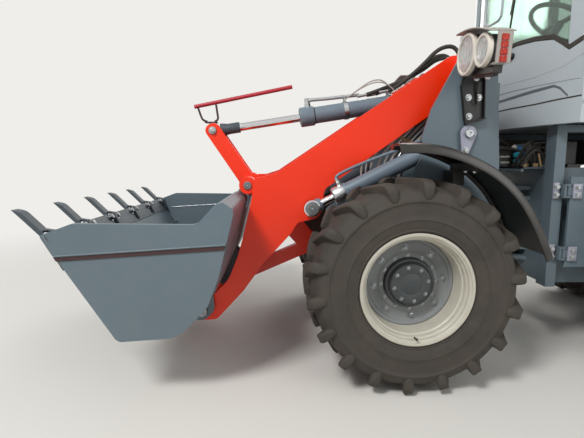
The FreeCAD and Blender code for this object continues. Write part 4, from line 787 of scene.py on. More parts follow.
class LOADER_OT_rims(bpy.types.Operator):
    """Press the rims and cast the hubs, with their rings of nuts"""

    bl_idname = "loader.rims"
    bl_label = "Rims and hubs"

    def execute(self, context):
        nuts = context.scene.loader_sizes.wheel_nuts
        for end, x in (("front", FRONT_X), ("rear", REAR_X)):
            for side, sign in SIDES:
                tag = f"{end}_{side}"
                body = "wheel_" + tag
                centre = (x, WHEEL_Y * sign, TYRE_R)
                for label, profile, steps, material, sharp in WHEEL_PARTS:
                    part = lathe(label + tag, profile, steps, centre, (0, sign, 0), material, body,
                                 sharp)
                    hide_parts("rim_" + tag)
                for label, radius, out, size, count, phase in (
                        ("nuts", 181, 23, 1.25, nuts, 0.12), ("drum_bolts", 142, 33, 0.8, 12, 0.05),
                        ("cover_bolts", 88, 85, 0.75, 8, 0.2)):
                    ring_of(f"hub_{label}_{tag}", bolt_on_disc(radius, out, size), count, phase, centre, sign,
                            "ground_steel", body)
                spoke = bmesh.new()
                slab(spoke, [(-5, 100), (5, 100), (5, 127), (-5, 127)], 27, 56, "xz", 1.5)
                ring_of("hub_ribs_" + tag, to_mesh("rib", spoke), 12, 0.31, centre, sign, "hub_enamel", body)
                valve = bmesh.new()
                rod(valve, (0, 168, -247), (0, 196, -243), 4.5, 10)
                rod(valve, (0, 196, -243), (0, 204, -242), 6.5, 10)
                stem = to_mesh("valve_stem", valve)
                on_wheel(stem, centre, sign)
                piece("valve_stem_" + tag, stem, "hose_rubber", body, smooth=40)
        return {"FINISHED"}


class LOADER_OT_bucket_trim(bpy.types.Operator):
    """Bolts, saddles and weld beads of the bucket"""

    bl_idname = "loader.bucket_trim"
    bl_label = "Bucket trim"

    def execute(self, context):
        # Along the cutting edge: from its lower to its upper corner, and square to it
        low, high = Vector((2382, 0, 739)), Vector((2436, 0, 833))
        run = (high - low).normalized()
        out = Vector((run.z, 0, -run.x))
        places = []
        work = bmesh.new()
        for index in range(6):
            y = 357 * (index - 2.5)
            for shift_y in (-47, 47):
                at = low + run * 84 + Vector((0, y + shift_y, 0)) - out * 17.5
                places.append((at, -out, 1.9))
            # A saddle wraps the tooth's root over the edge, with a strap out to its two bolts
            ridge = [low + run * 8 - out * 17, low + run * 116 - out * 17, low + run * 122 + out * 4,
                     low + run * 132 - out * 6, low + run * 104 - out * 40, low + run * 20 - out * 32]
            slab(work, [(p.x, p.z) for p in ridge], y - 17, y + 17, "xz", 2.5)
            strap = [low + run * 62 - out * 17, low + run * 104 - out * 17, low + run * 101 - out * 23,
                     low + run * 66 - out * 23]
            slab(work, [(p.x, p.z) for p in strap], y - 66, y + 66, "xz", 2.0)
        fasteners("tooth_bolts", places, "ground_steel", "bucket")
        piece("tooth_saddles", to_mesh("tooth_saddles", work), "edge_enamel", "bucket")
        for side, sign in SIDES:
            # Painted shadow: a dark strip under the wear plate where its lower edge casts shade, with the
            # bead of its weld above
            seam = [(1601, 783), (2384, 734), (2372, 713), (1608, 761)]
            plate_piece("wear_seam_" + side, [(seam, sign * 949.5, sign * 955)], "bracket_enamel", "bucket",
                        bevel=1.0)
            beads = [
                ("wear", [(1598, 958, 787), (1990, 958, 762), (2378, 958, 738)], 4.5),
                ("lip", [(2383, 951, 741), (2425, 951, 812), (2434, 951, 830)], 4.0),
            ]
            for label, points, radius in beads:
                hose(f"weld_{label}_{side}", points, radius, "slate_enamel", "bucket", 3,
                     sign=sign)
            inside = [(1580, 930, 934), (1640, 930, 640), (1700, 930, 485),
                      (1838, 930, 352), (2112, 930, 336), (2376, 930, 738)]
            hose("weld_floor_" + side, inside, 5.0, "slate_enamel", "bucket", 3, sign=sign)
            # The bare bead that closes the upper wing to the wrapper
            wing = [(1640, 933, 800), (2000, 933, 785), (2330, 933, 762)]
            hose("weld_wing_" + side, wing, 3.5, "zinc_plate", "bucket", 3, sign=sign)
        cross = [(2290, -930, 640), (2292, 0, 642), (2290, 930, 640)]
        hose("weld_lip_inside", cross, 3.5, "zinc_plate", "bucket", 3)
        return {"FINISHED"}


def pin_cap(name, at, y, sign, radius, body, bolts=0):
    """A turned end cap of a pin with a grease nipple and optional bolts."""
    profile = [(0, 0), (0, radius), (7, radius), (10, radius - 3), (10, radius * 0.45), (8, radius * 0.4),
               (8, 0)]
    lathe(name, profile, 40, (at[0], y * MM * sign, at[1]), (0, sign, 0), "ground_steel", body,
          35)
    work = bmesh.new()
    x, z = at[0] / MM, at[1] / MM
    rod(work, (x, (y + 8) * sign, z), (x, (y + 17) * sign, z), 4.5, 8)
    bmesh.ops.create_uvsphere(work, u_segments=10, v_segments=6, radius=0.0042,
                              matrix=Matrix.Translation((at[0], (y + 18) * sign * MM, at[1])))
    piece(name + "_nipple", to_mesh(name, work), "zinc_plate", body, smooth=50)
    if bolts:
        spots = [((x + radius * 0.68 * math.cos(a), (y + 9.5) * sign, z + radius * 0.68 * math.sin(a)),
                  (0, sign, 0), 0.5) for a in [2 * math.pi * k / bolts + 0.5 for k in range(bolts)]]
        fasteners(name + "_bolts", spots, "zinc_plate", body)


# Outer face of the tower plates and line of the foremost tower pipe on the left, in millimetres
TOWER_FACE = 485
TOWER_PIPE = (
    (417, 268, 1565), (440, 268, 1515), (600, 268, 1345), (707, 268, 1232), (752, 268, 1150),
    (752, 262, 1060),
)


class LOADER_OT_boom_trim(bpy.types.Operator):
    """Pin caps, lamp brackets, tower pipes, level rail and welds of the boom and tower"""

    bl_idname = "loader.boom_trim"
    bl_label = "Boom trim"

    def execute(self, context):
        for side, sign in SIDES:
            pin_cap("cap_boom_pivot_" + side, BOOM_PIVOT, 487, sign, 38, "front_frame")
            pin_cap("cap_rocker_pin_" + side, ROCKER_PIN, 289, sign, 25, "rocker_pin")
            # Washer and bolt on the end of the rocker's upper pin
            x, z = TILT_HEAD[0] / MM, TILT_HEAD[1] / MM
            lathe("rocker_washer_" + side, [(0, 0), (0, 25), (5, 25), (8, 22), (8, 0)], 40,
                  (TILT_HEAD[0], 0.080 * sign, TILT_HEAD[1]), (0, sign, 0), "ground_steel", "rocker",
                  35)
            fasteners("rocker_bolt_" + side, [((x, 87 * sign, z), (0, sign, 0), 1.6)], "zinc_plate", "rocker")
            pin_cap("cap_bucket_pin_" + side, BUCKET_PIN, 370, sign, 34, "bucket_pins", 3)
            pin_cap("cap_lift_front_" + side, LIFT_FRONT, 435, sign, 40, f"lift_rod_{side}")
            # Teardrop keeper plate over the lift cylinder's rear pin
            x, z = LIFT_BASE[0] / MM, LIFT_BASE[1] / MM
            outline = arc(x, z, 46, -15, 210, 12) + arc(x + 12, z - 92, 24, 195, 150, 6)
            plate_piece("lift_keeper_" + side, [(outline, sign * 488, sign * 496)], "hinge_enamel",
                        "front_frame", bevel=2.0)
            lathe("lift_pin_end_" + side, [(0, 0), (0, 24), (16, 24), (20, 21), (20, 9), (15, 7), (15, 0)],
                  32, (LIFT_BASE[0], 0.494 * sign, LIFT_BASE[1]), (0, sign, 0), "zinc_plate", "front_frame",
                  35)
            fasteners("lift_keeper_bolt_" + side, [((x + 12, 496 * sign, z - 92), (0, sign, 0), 1.25)],
                      "zinc_plate", "front_frame")
            # Lamp bracket: three bolts, folded flanges, the cable's slot and the cable
            holes = ((308, 1516), (250, 1516), (300, 1414))
            spots = [((bx, TOWER_FACE * sign, bz), (0, sign, 0), 1.25) for bx, bz in holes]
            fasteners("bracket_bolts_" + side, spots, "zinc_plate", "front_frame")
            folds = [([(325, 1374), (354, 1580), (348, 1582), (318, 1376)], TOWER_FACE * sign, 503 * sign),
                     ([(215, 1400), (225, 1640), (231, 1640), (222, 1399)], TOWER_FACE * sign, 503 * sign),
                     ([(214, 1398), (326, 1368), (325, 1376), (215, 1406)], 476 * sign, 515 * sign)]
            plate_piece("bracket_folds_" + side, folds, "valve_enamel", "front_frame",
                        bevel=1.5)
            slot = [(262, 1470), (272, 1464), (302, 1500), (292, 1506)]
            plate_piece("bracket_slot_" + side, [(slot, 484.5 * sign, 486 * sign)], "hose_rubber",
                        "front_frame", bevel=0.4)
            cable = [(262, 488, 1480), (270, 497, 1560), (262, 500, 1610),
                     (258, 560, 1636), (262, 620, 1650)]
            hose("lamp_cable_" + side, cable, 5, "hose_rubber", "front_frame", 3, sign=sign)
            # Steel pipes down the inner tower plate behind the boom's foot
            for index in range(5):
                near = 34 * index
                run = [(x - near, y, z) for x, y, z in TOWER_PIPE]
                hose(f"tower_pipe_{index}_{side}", run, 8.5, "zinc_plate" if index % 2 else "visor_nylon",
                     "front_frame", 4, sign=sign)
            work = bmesh.new()
            for bx, bz in ((430, 1440), (560, 1300)):
                slab(work, [(bx - 84, bz - 44), (bx - 76, bz - 60), (bx + 82, bz + 12), (bx + 74, bz + 28)],
                     255 * sign, 281 * sign, "xz", 2.0)
            piece("tower_pipe_blocks_" + side, to_mesh("blocks", work), "pipe_block_tan", "front_frame")
            # Weld round the cross tube where it meets the arm
            points = [(px, 293, pz) for px, pz in arc(1270, 1015, 87, 0, 360, 24)]
            hose("weld_cross_tube_" + side, points, 5.0, "boom_enamel", "boom", 3, sign=sign)
            # Weld bead along the foot of the tower's outer cheek
            foot = [(150, 478, 882), (400, 478, 882), (612, 478, 882)]
            hose("weld_tower_" + side, foot, 4.0, "slate_enamel", "front_frame", 3, sign=sign)
        # Level rail: a tube on two bent brackets over the rocker's upper pin
        work = bmesh.new()
        rod(work, (1912, 0, 1522), (1270, 0, 1652), 13, 20)
        tube = piece("level_tube", to_mesh("tube", work), "rail_enamel", "tilt_rod", smooth=40)
        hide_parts("level_rail")
        for label, points in (("front", [(1888, 0, 1514), (1872, 0, 1462), (1856, 0, 1432), (1830, 0, 1428)]),
                              ("rear", [(1770, 0, 1536), (1763, 0, 1480), (1757, 0, 1436), (1782, 0, 1429)])):
            hose("level_bracket_" + label, points, 7, "bracket_enamel", "tilt_rod", 4)
        boxes("level_foot", [((1762, 1844), (-22, 22), (1417, 1426), 1.5),
                             ((1790, 1816), (-13, 13), (1396, 1418), 1.5)], "bracket_enamel", "tilt_rod")
        return {"FINISHED"}


# Tilt cylinder: its direction and its upper side, and millimetres along it to the gland and the front port
TILT_RUN = Vector((TILT_HEAD[0] - TILT_BASE[0], 0, TILT_HEAD[1] - TILT_BASE[1])).normalized()
TILT_UP = Vector((-TILT_RUN.z, 0, TILT_RUN.x))
TILT_GLAND = 925
TILT_PORT = 865

# Metres along the tilt tube to a far point that is passed with its hoses; hose() only checks that such a span
# is given and leaves the hoses on no body
TILT_BLEND = 0.34


def along_tilt(distance, lift, y=0.0):
    """A point beside the tilt cylinder: millimetres along it from its rear pin, and above its axis."""
    spot = Vector((TILT_BASE[0], 0, TILT_BASE[1])) / MM + TILT_RUN * distance + TILT_UP * lift
    return (spot.x, y, spot.z)


class LOADER_OT_cylinder_trim(bpy.types.Operator):
    """Gland nuts, ports, pipes and hoses of the cylinders"""

    bl_idname = "loader.cylinder_trim"
    bl_label = "Cylinder trim and hoses"

    def execute(self, context):
        radius = context.scene.loader_sizes.hose_radius / MM
        gland = Vector(along_tilt(TILT_GLAND, 0)) * MM
        nut = [(-92, 54), (-92, 62), (-88, 64), (-6, 64), (0, 60), (4, 48), (4, 27), (-2, 26.4), (-2, 53)]
        lathe("tilt_gland_nut", nut, 48, gland, TILT_RUN, "tube_enamel", "tilt_barrel", 30)
        lathe("tilt_gland_groove", [(-94, 53), (-94, 55.2), (-99, 55.2), (-99, 53)], 48, gland, TILT_RUN,
              "hose_rubber", "tilt_barrel", 30)
        # The sleeve and weld neck at the rod's eye
        head = Vector((TILT_HEAD[0], 0, TILT_HEAD[1]))
        neck = [(-172, 26.5), (-172, 33), (-168, 35), (-96, 35), (-60, 42), (-46, 44), (-46, 26.5)]
        lathe("tilt_rod_neck", neck, 40, head, TILT_RUN, "edge_enamel", "tilt_rod", 35)
        # Steel pipe from the front port back along the tube, with its elbow and two clamps
        hose("tilt_pipe", [along_tilt(TILT_PORT, 50), along_tilt(TILT_PORT, 98), along_tilt(845, 104),
                           along_tilt(700, 92), along_tilt(520, 88)], 12, "zinc_plate", "tilt_barrel",
             5)
        lathe("tilt_port_front", [(0, 0), (0, 20), (36, 20), (40, 17), (66, 17), (70, 13), (70, 0)], 6,
              Vector(along_tilt(TILT_PORT, 48)) * MM, TILT_UP, "zinc_plate", "tilt_barrel")
        for label, distance in (("front", 620), ("rear", 330)):
            lathe("tilt_clamp_" + label, [(-14, 54.5), (-14, 59), (14, 59), (14, 54.5)], 40,
                  Vector(along_tilt(distance, 0)) * MM, TILT_RUN, "zinc_plate", "tilt_barrel",
                  35)
            work = bmesh.new()
            rod(work, along_tilt(distance, 56, -22), along_tilt(distance, 92, -22), 6, 10)
            rod(work, along_tilt(distance, 56, 22), along_tilt(distance, 92, 22), 6, 10)
            piece("tilt_saddle_" + label, to_mesh("saddle", work), "zinc_plate", "tilt_barrel")
        # Hoses that leave the tower's back, arch over the pivot and meet the pipes on the tube
        pivot = Vector((TILT_BASE[0], 0, TILT_BASE[1]))
        far = pivot + TILT_RUN * TILT_BLEND
        across = ("front_frame", "tilt_barrel", tuple(pivot), tuple(far))
        for index, (y, rise, reach) in enumerate(((-45, 230, 400), (50, 262, 330), (12, 200, 470))):
            start = (172, y * 1.5, 1610)
            points = [start, (166, y * 1.4, 1730), (210, y * 1.2, 1640 + rise), (325, y, 1640 + rise * 0.97),
                      (430, y * 0.8, 1640 + rise * 0.52), along_tilt(reach * 0.82, 92, y * 0.7),
                      along_tilt(reach, 80, y * 0.6)]
            hose(f"tilt_hose_{index}", points, radius, "hose_rubber", None, 4, across)
            hose(f"tilt_hose_end_{index}", [along_tilt(reach - 6, 80, y * 0.6),
                                            along_tilt(reach + 30, 79, y * 0.6),
                                            along_tilt(reach + 62, 78, y * 0.6)], radius * 0.8,
                 "zinc_plate", "tilt_barrel", 4)
        # Thin pale grease lines that arch over the hoses to the tube's clamp
        for index, (y, rise) in enumerate(((34, 44), (58, 26))):
            line = [along_tilt(300, 74, y), along_tilt(340, 104 + rise, y * 0.9),
                    along_tilt(420, 124 + rise, y * 0.7), along_tilt(540, 112, y * 0.5),
                    along_tilt(620, 66, y * 0.4)]
            hose(f"grease_line_{index}", line, 4, "visor_nylon", "tilt_barrel", 3)
        for side, sign in SIDES:
            start = Vector((LIFT_BASE[0], LIFT_Y * sign, LIFT_BASE[1]))
            end = Vector((LIFT_FRONT[0], LIFT_Y * sign, LIFT_FRONT[1]))
            axis = (end - start).normalized()
            up = Vector((-axis.z, 0, axis.x))
            tip = start + axis * 0.820
            collar = [(-70, 47), (-70, 53), (-64, 55), (-8, 55), (0, 51), (3, 40), (3, 25), (-2, 24.4),
                      (-2, 46)]
            lathe("lift_gland_" + side, collar, 44, tip, axis, "zinc_plate", f"lift_barrel_{side}",
                  30)
            port = [(0, 0), (0, 17), (28, 17), (32, 14), (50, 14), (53, 10), (53, 0)]
            for label, distance in (("front", 0.760), ("rear", 0.130)):
                lathe(f"lift_port_{label}_{side}", port, 6, start + axis * distance + up * 0.044, up,
                      "zinc_plate", f"lift_barrel_{side}")
            low = (start + axis * 0.760 + up * 0.094) / MM
            mid = (start + axis * 0.640 + up * 0.110) / MM
            rear = (start + axis * 0.250 + up * 0.074) / MM
            hose("lift_pipe_" + side, [low, low + up * 14, mid, rear,
                                       (start + axis * 0.140 + up * 0.066) / MM], 9, "tube_enamel",
                 f"lift_barrel_{side}", 4)
            neck = [(-64, 25), (-64, 33), (-40, 40), (-34, 40), (-34, 25)]
            lathe("lift_neck_" + side, neck, 40, end, axis, "tube_enamel", f"lift_rod_{side}",
                  35)
        return {"FINISHED"}


# Lamps of one side: name, distance from the centre line, radius of the bezel in millimetres
LAMPS = (("large", 620, 105), ("small", 800, 78))
LAMP_X, LAMP_Z = 375, 1720

# The whole set droops about its root by an angle in radians and stands ahead of the bracket, in metres
LAMP_DROOP = 0.127
LAMP_ROOT_Y = 0.54
LAMP_AHEAD = 0.022


class LOADER_OT_headlamps(bpy.types.Operator):
    """Ribbed lamp cases with their lenses, visors and side reflectors"""

    bl_idname = "loader.headlamps"
    bl_label = "Headlamps"

    def execute(self, context):
        for side, sign in SIDES:
            known = list(bpy.data.objects)
            for label, y, radius in LAMPS:
                centre = (LAMP_X * MM, y * MM * sign, LAMP_Z * MM)
                ring = [(-24, radius - 6), (-22, radius), (-4, radius), (0, radius - 4), (0, radius - 14),
                        (-8, radius - 18), (-24, radius - 18)]
                lathe(f"lamp_ring_{label}_{side}", ring, 64, centre, (1, 0, 0), "lamp_ring", "front_frame",
                      35)
                lens = [(-12, 0), (-12, radius - 17), (-4, radius - 16), (0, radius * 0.6),
                        (3, radius * 0.3), (4, 0)]
                lathe(f"lamp_lens_{label}_{side}", lens, 48, centre, (1, 0, 0), "lamp_lens", "front_frame",
                      50)
                bowl = [(-14, radius - 19), (-36, radius * 0.6), (-48, radius * 0.28), (-50, 0), (-54, 0),
                        (-52, radius * 0.3), (-40, radius * 0.64), (-20, radius - 17)]
                lathe(f"lamp_bowl_{label}_{side}", bowl, 40, centre, (1, 0, 0), "hard_chrome",
                      "front_frame", 50)
                back = [(-22, radius - 4), (-30, radius - 8), (-105, radius - 20), (-120, radius - 34),
                        (-124, 0), (-60, 0), (-60, radius - 20), (-24, radius - 14)]
                lathe(f"lamp_case_{label}_{side}", back, 56, centre, (1, 0, 0), "lamp_nylon",
                                   "front_frame", 30)
                fin = turned("fin", [(0, radius - 20), (0, radius - 6), (3.5, radius - 6),
                                     (3.5, radius - 20)], 56, (0, 0, 0), (1, 0, 0))
                row(f"lamp_fins_{label}_{side}", fin, 8, ((LAMP_X - 104), y * sign, LAMP_Z), (9.2, 0, 0),
                    "lamp_nylon", "front_frame")
            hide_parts("headlamps")
            # Curved visor over both lamps
            work = bmesh.new()
            arc = []
            for k in range(15):
                share = k / 14
                y = 508 + 385 * share
                z = LAMP_Z + 112 + 12 * math.sin(math.pi * share) - 36 * share ** 2
                arc.append((y * sign, z))
            outline = arc + [(y, z - 6) for y, z in reversed(arc)]
            slab(work, outline, LAMP_X - 112, LAMP_X + 14, "yz", 1.5)
            for y0, y1, z0, z1 in ((503, 513, -40, 112), (884, 892, -66, 80)):
                block(work, (LAMP_X - 100, LAMP_X - 30), sorted((y0 * sign, y1 * sign)),
                      (LAMP_Z + z0, LAMP_Z + z1), 1.5)
            block(work, (LAMP_X - 90, LAMP_X - 34), sorted((540 * sign, 868 * sign)),
                  (LAMP_Z - 70, LAMP_Z - 58), 1.5)
            piece("lamp_visor_" + side, to_mesh("visor", work), "visor_nylon", "front_frame")
            boxes("lamp_foot_" + side, [((LAMP_X - 84, LAMP_X - 40), (640, 860),
                                         (LAMP_Z - 106, LAMP_Z - 68), 2),
                                        ((LAMP_X - 78, LAMP_X - 56), (600, 838),
                                         (LAMP_Z - 118, LAMP_Z - 100), 2)], "black_moulding", "front_frame",
                  sign)
            work = bmesh.new()
            for k in range(4):
                block(work, (LAMP_X - 80, LAMP_X - 46), sorted((890 * sign, 898 * sign)),
                      (LAMP_Z - 62 + 31 * k, LAMP_Z - 33 + 31 * k), 3)
            piece("lamp_reflector_" + side, to_mesh("reflector", work), "reflector_red", "front_frame")
            fasteners("lamp_bolts_" + side, [((LAMP_X - 66, y * sign, LAMP_Z - 119), (0, 0, -1), 1.0)
                                             for y in (640, 760)], "zinc_plate", "front_frame")
            # The lamps droop outwards on their bracket and stand a little ahead of it
            root = Vector((0, LAMP_ROOT_Y * sign, LAMP_Z * MM))
            droop = (Matrix.Translation(root + Vector((LAMP_AHEAD, 0, 0)))
                     @ Matrix.Rotation(-LAMP_DROOP * sign, 4, "X") @ Matrix.Translation(-root))
            for thing in [thing for thing in bpy.data.objects if thing not in known]:
                thing.data.transform(droop)
        return {"FINISHED"}


# Side window seals in millimetres: width, and their inner and outer faces from the centre line
SEAL_WIDTH = 16
SEAL_FACES = (648, 653)


def seal_strip(name, x, z, sign, body):
    """A rubber seal: a flat frame inside the x and z limits of a side window, in millimetres."""
    work = bmesh.new()
    corners = [(x[0], z[0]), (x[1], z[0]), (x[1], z[1]), (x[0], z[1])]
    left, right, low, high = x[0] + SEAL_WIDTH, x[1] - SEAL_WIDTH, z[0] + SEAL_WIDTH, z[1] - SEAL_WIDTH
    inner = [(left, low), (right, low), (right, high), (left, high)]
    for k, after in ((0, 1), (1, 2), (2, 3), (3, 0)):
        outline = [corners[k], corners[after], inner[after], inner[k]]
        slab(work, outline, SEAL_FACES[0] * sign, SEAL_FACES[1] * sign)
    piece(name, to_mesh(name, work), "hose_rubber", body)


# The cab's bowed front in plan: radius, and X of the bow's centre, in millimetres
NOSE_RADIUS = 1600.0
NOSE_CENTRE = -1677.6

# Longest facet of a band on it, and how deep the band sits in the sheet
NOSE_FACET = 25
NOSE_BURY = 3


def nose_x(y):
    """Where the cab's bowed front lies at a distance from the centre line, in millimetres."""
    return NOSE_CENTRE + math.sqrt(NOSE_RADIUS ** 2 - y * y)


def skin(work, rings):
    """Add a solid to a bmesh from rings of points along it, with flat ends."""
    count = len(rings[0])
    for here, there in zip(rings, rings[1:]):
        for k in range(count):
            work.faces.new([here[k], here[(k + 1) % count], there[(k + 1) % count], there[k]])
    work.faces.new(rings[0][::-1])
    work.faces.new(rings[-1])


def nose_band(name, stations, proud, material):
    """A raised or painted band that follows the bowed front through (y, z, half height)."""
    work = bmesh.new()
    rings = []
    for (y0, z0, h0), (y1, z1, h1) in zip(stations, stations[1:]):
        count = max(2, int(abs(y1 - y0) / NOSE_FACET))
        for k in range(count + (1 if (y1, z1, h1) == stations[-1] else 0)):
            share = k / count
            y, z, half = y0 + (y1 - y0) * share, z0 + (z1 - z0) * share, h0 + (h1 - h0) * share
            x = nose_x(y)
            flat = half - min(half * 0.3, 4)
            rings.append([work.verts.new(Vector(spot) * MM)
                          for spot in ((x - NOSE_BURY, y, z - half), (x + proud, y, z - flat),
                                       (x + proud, y, z + flat), (x - NOSE_BURY, y, z + half))])
    skin(work, rings)
    piece(name, to_mesh(name, work), material, "rear_frame", smooth=30)


def mirrored(stations):
    """Stations of one half of the bowed front, carried over to the other half."""
    return [(-y, z, half) for y, z, half in reversed(stations) if y > 0] + stations


class LOADER_OT_cab_trim(bpy.types.Operator):
    """Seals, wiper, door furniture, mirrors and the inside of the cab"""

    bl_idname = "loader.cab_trim"
    bl_label = "Cab trim"

    def execute(self, context):
        # Window seals of the right side, the fixed left windows and the door
        for side, sign in SIDES:
            seal_strip("seal_rear_" + side, (-1225, -860), (1770, 2640), sign, "rear_frame")
        seal_strip("seal_right_front", (-815, -260), (1770, 2640), -1, "rear_frame")
        seal_strip("seal_door_glass", (-770, -304), (1652, 2596), 1, "door")
        # Bowed front: the parting line, the pressed groove that hooks down to it, drawn as a strip of painted
        # shade, and the swage line above
        parting = [(0, 1490, 5), (230, 1492, 5), (390, 1493, 5), (520, 1501, 5), (648, 1507, 5)]
        nose_band("nose_parting_line", mirrored(parting), 1.5, "hose_rubber")
        groove = [(20, 1549, 9), (220, 1558, 11), (383, 1570, 11), (500, 1578, 9), (536, 1561, 8),
                  (580, 1515, 7)]
        swage = [(20, 1653, 4), (211, 1648, 4), (376, 1648, 4), (548, 1673, 4), (640, 1718, 4)]
        for side, sign in SIDES:
            nose_band("nose_groove_" + side, [(y * sign, z, half) for y, z, half in groove], 2.0,
                      "cab_groove_enamel")
            nose_band("nose_swage_" + side, [(y * sign, z, half) for y, z, half in swage], 4.0, "cab_enamel")
        # Cowl that laps over the foot of the windscreen, with its dark seal on top
        cowl, seal = [], []
        for y, top in ((0, 1857), (217, 1861), (357, 1851), (478, 1829), (527, 1791), (568, 1754),
                       (634, 1784)):
            cowl.append((y, (top + 1592) / 2, (top - 1592) / 2))
            seal.append((y, top + 12, 15))
        nose_band("nose_cowl", mirrored(cowl), 3.0, "cab_enamel")
        nose_band("nose_seal", mirrored(seal), 6.0, "hose_rubber")
        # Gasket under the roof along both sides
        for side, sign in SIDES:
            gasket = [(-1222, 652, 2694), (-700, 654, 2694), (-222, 652, 2694)]
            hose("roof_gasket_" + side, gasket, 6, "hose_rubber", "rear_frame", 3, sign=sign)
        # Wiper with its pivot, arm and blade on the windscreen
        pivot = Vector((nose_x(185) + 2, 185, 1808))
        lathe("wiper_pivot", [(0, 0), (0, 20), (14, 20), (22, 13), (22, 0)], 20,
              (pivot.x * MM, pivot.y * MM, pivot.z * MM), (1, 0, 0), "black_moulding", "rear_frame",
              40)
        arm = [(nose_x(185) + 22, 185, 1808), (nose_x(161) + 20, 161, 1931), (nose_x(173) + 16, 173, 2050),
               (nose_x(210) + 12, 210, 2290)]
        hose("wiper_arm", arm, 6, "black_moulding", "rear_frame", 3)
        blade = [(nose_x(150) + 9, 150, 2060), (nose_x(205) + 9, 205, 2290), (nose_x(262) + 9, 262, 2520)]
        hose("wiper_blade", blade, 7, "hose_rubber", "rear_frame", 3)
        # Light U-shaped grab rail ahead of the windscreen, hung from the roof's front edge
        x = nose_x(0) + 40
        rail = [(x - 44, -107, 2640), (x, -107, 2610), (x, -107, 2120), (x, -90, 2062), (x, 0, 2052),
                (x, 100, 2052), (x, 117, 2110), (x, 117, 2610), (x - 44, 117, 2640)]
        hose("screen_rail", rail, 8, "cab_enamel", "rear_frame", 4)
        for side, sign in SIDES:
            # Mirror glass set in its shell, and the shell's rim
            glass = [(sign * 782, 2003), (sign * 908, 2003), (sign * 908, 2217), (sign * 782, 2217)]
            plate_piece("mirror_glass_" + side, [(glass, -249, -245.5)], "hard_chrome", "rear_frame",
                        "yz", 1.0)
            work = bmesh.new()
            for a, b in zip(glass, glass[1:] + glass[:1]):
                rod(work, (-246, *a), (-246, *b), 5, 8)
            piece("mirror_rim_" + side, to_mesh("rim", work), "dark_abs", "rear_frame")
        # Door furniture: lock barrel and grip
        lathe("door_lock", [(0, 0), (0, 15), (8, 15), (11, 12), (11, 0)], 24, (-0.300, 0.652, 1.530),
              (0, 1, 0), "zinc_plate", "door", 40)
        grip = [(-375, 675, 1575), (-372, 702, 1575), (-330, 706, 1575), (-290, 702, 1575), (-276, 675, 1575)]
        hose("door_grip", grip, 9, "black_moulding", "door", 4)
        # Rubber mat and pedals on the floor, gauges on the dash
        work = bmesh.new()
        for k in range(9):
            block(work, (-590 + 40 * k, -576 + 40 * k), (-560, 240), (1420, 1427), 1.0)
        piece("floor_mat", to_mesh("mat", work), "hose_rubber", "rear_frame")
        for index, y in enumerate((-150, -30, 170)):
            outline = [(-345, 1440), (-295, 1500), (-289, 1496), (-337, 1434)]
            plate_piece(f"pedal_{index}", [(outline, y - 35, y + 35)], "black_moulding", "rear_frame",
                        bevel=2.0)
        for index, (y, z) in enumerate(((-120, 1855), (0, 1855), (120, 1855))):
            lathe(f"gauge_{index}", [(0, 0), (0, 34), (8, 34), (12, 30), (8, 28), (8, 0)], 32,
                  (-0.297, y * MM, z * MM), (-1, 0, 0), "black_moulding", "rear_frame", 35)
        return {"FINISHED"}


# Cushions: name, lowest and highest corner in metres, and the axis that the crowned face looks along
CUSHIONS = (
    ("seat_cushion", (-1.062, -0.235, 1.802), (-0.640, 0.235, 1.900), 2),
    ("seat_backrest", (-1.120, -0.225, 1.905), (-1.020, 0.225, 2.418), 0),
)


class LOADER_OT_seat(bpy.types.Operator):
    """Padded seat with sewn channels"""

    bl_idname = "loader.seat"
    bl_label = "Seat"

    def execute(self, context):
        for name, low, high, crown_axis in CUSHIONS:
            work = bmesh.new()
            bmesh.ops.create_cube(work, size=1.0)
            bmesh.ops.subdivide_edges(work, edges=work.edges, cuts=11, use_grid_fill=True)
            size = Vector(high) - Vector(low)
            middle = (Vector(high) + Vector(low)) / 2
            for vert in work.verts:
                unit = vert.co * 2
                round_off = [math.copysign(abs(v) ** 0.9, v) for v in unit]
                rest = [k for k in range(3) if k != crown_axis]
                edge = max(abs(round_off[rest[0]]), abs(round_off[rest[1]]))
                # Crowned faces that pull in at the rim, with channels sewn across
                pinch = 1 - 0.42 * max(0.0, edge - 0.72) / 0.28
                channel = 0.05 * abs(math.sin(round_off[rest[0]] * math.pi * 2.5)) ** 0.35
                scale = [1.0, 1.0, 1.0]
                scale[crown_axis] = pinch * (0.9 + channel)
                vert.co = middle + Vector(round_off[k] * scale[k] * size[k] / 2 for k in range(3))
            cushion = piece(name, to_mesh(name, work), "seat_vinyl", "rear_frame", smooth=60)
            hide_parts("seat")
        return {"FINISHED"}


# First column of tread studs and heights of the hatch hinges, in millimetres
STEP_X = -722
HINGE_Z = (1000, 640)


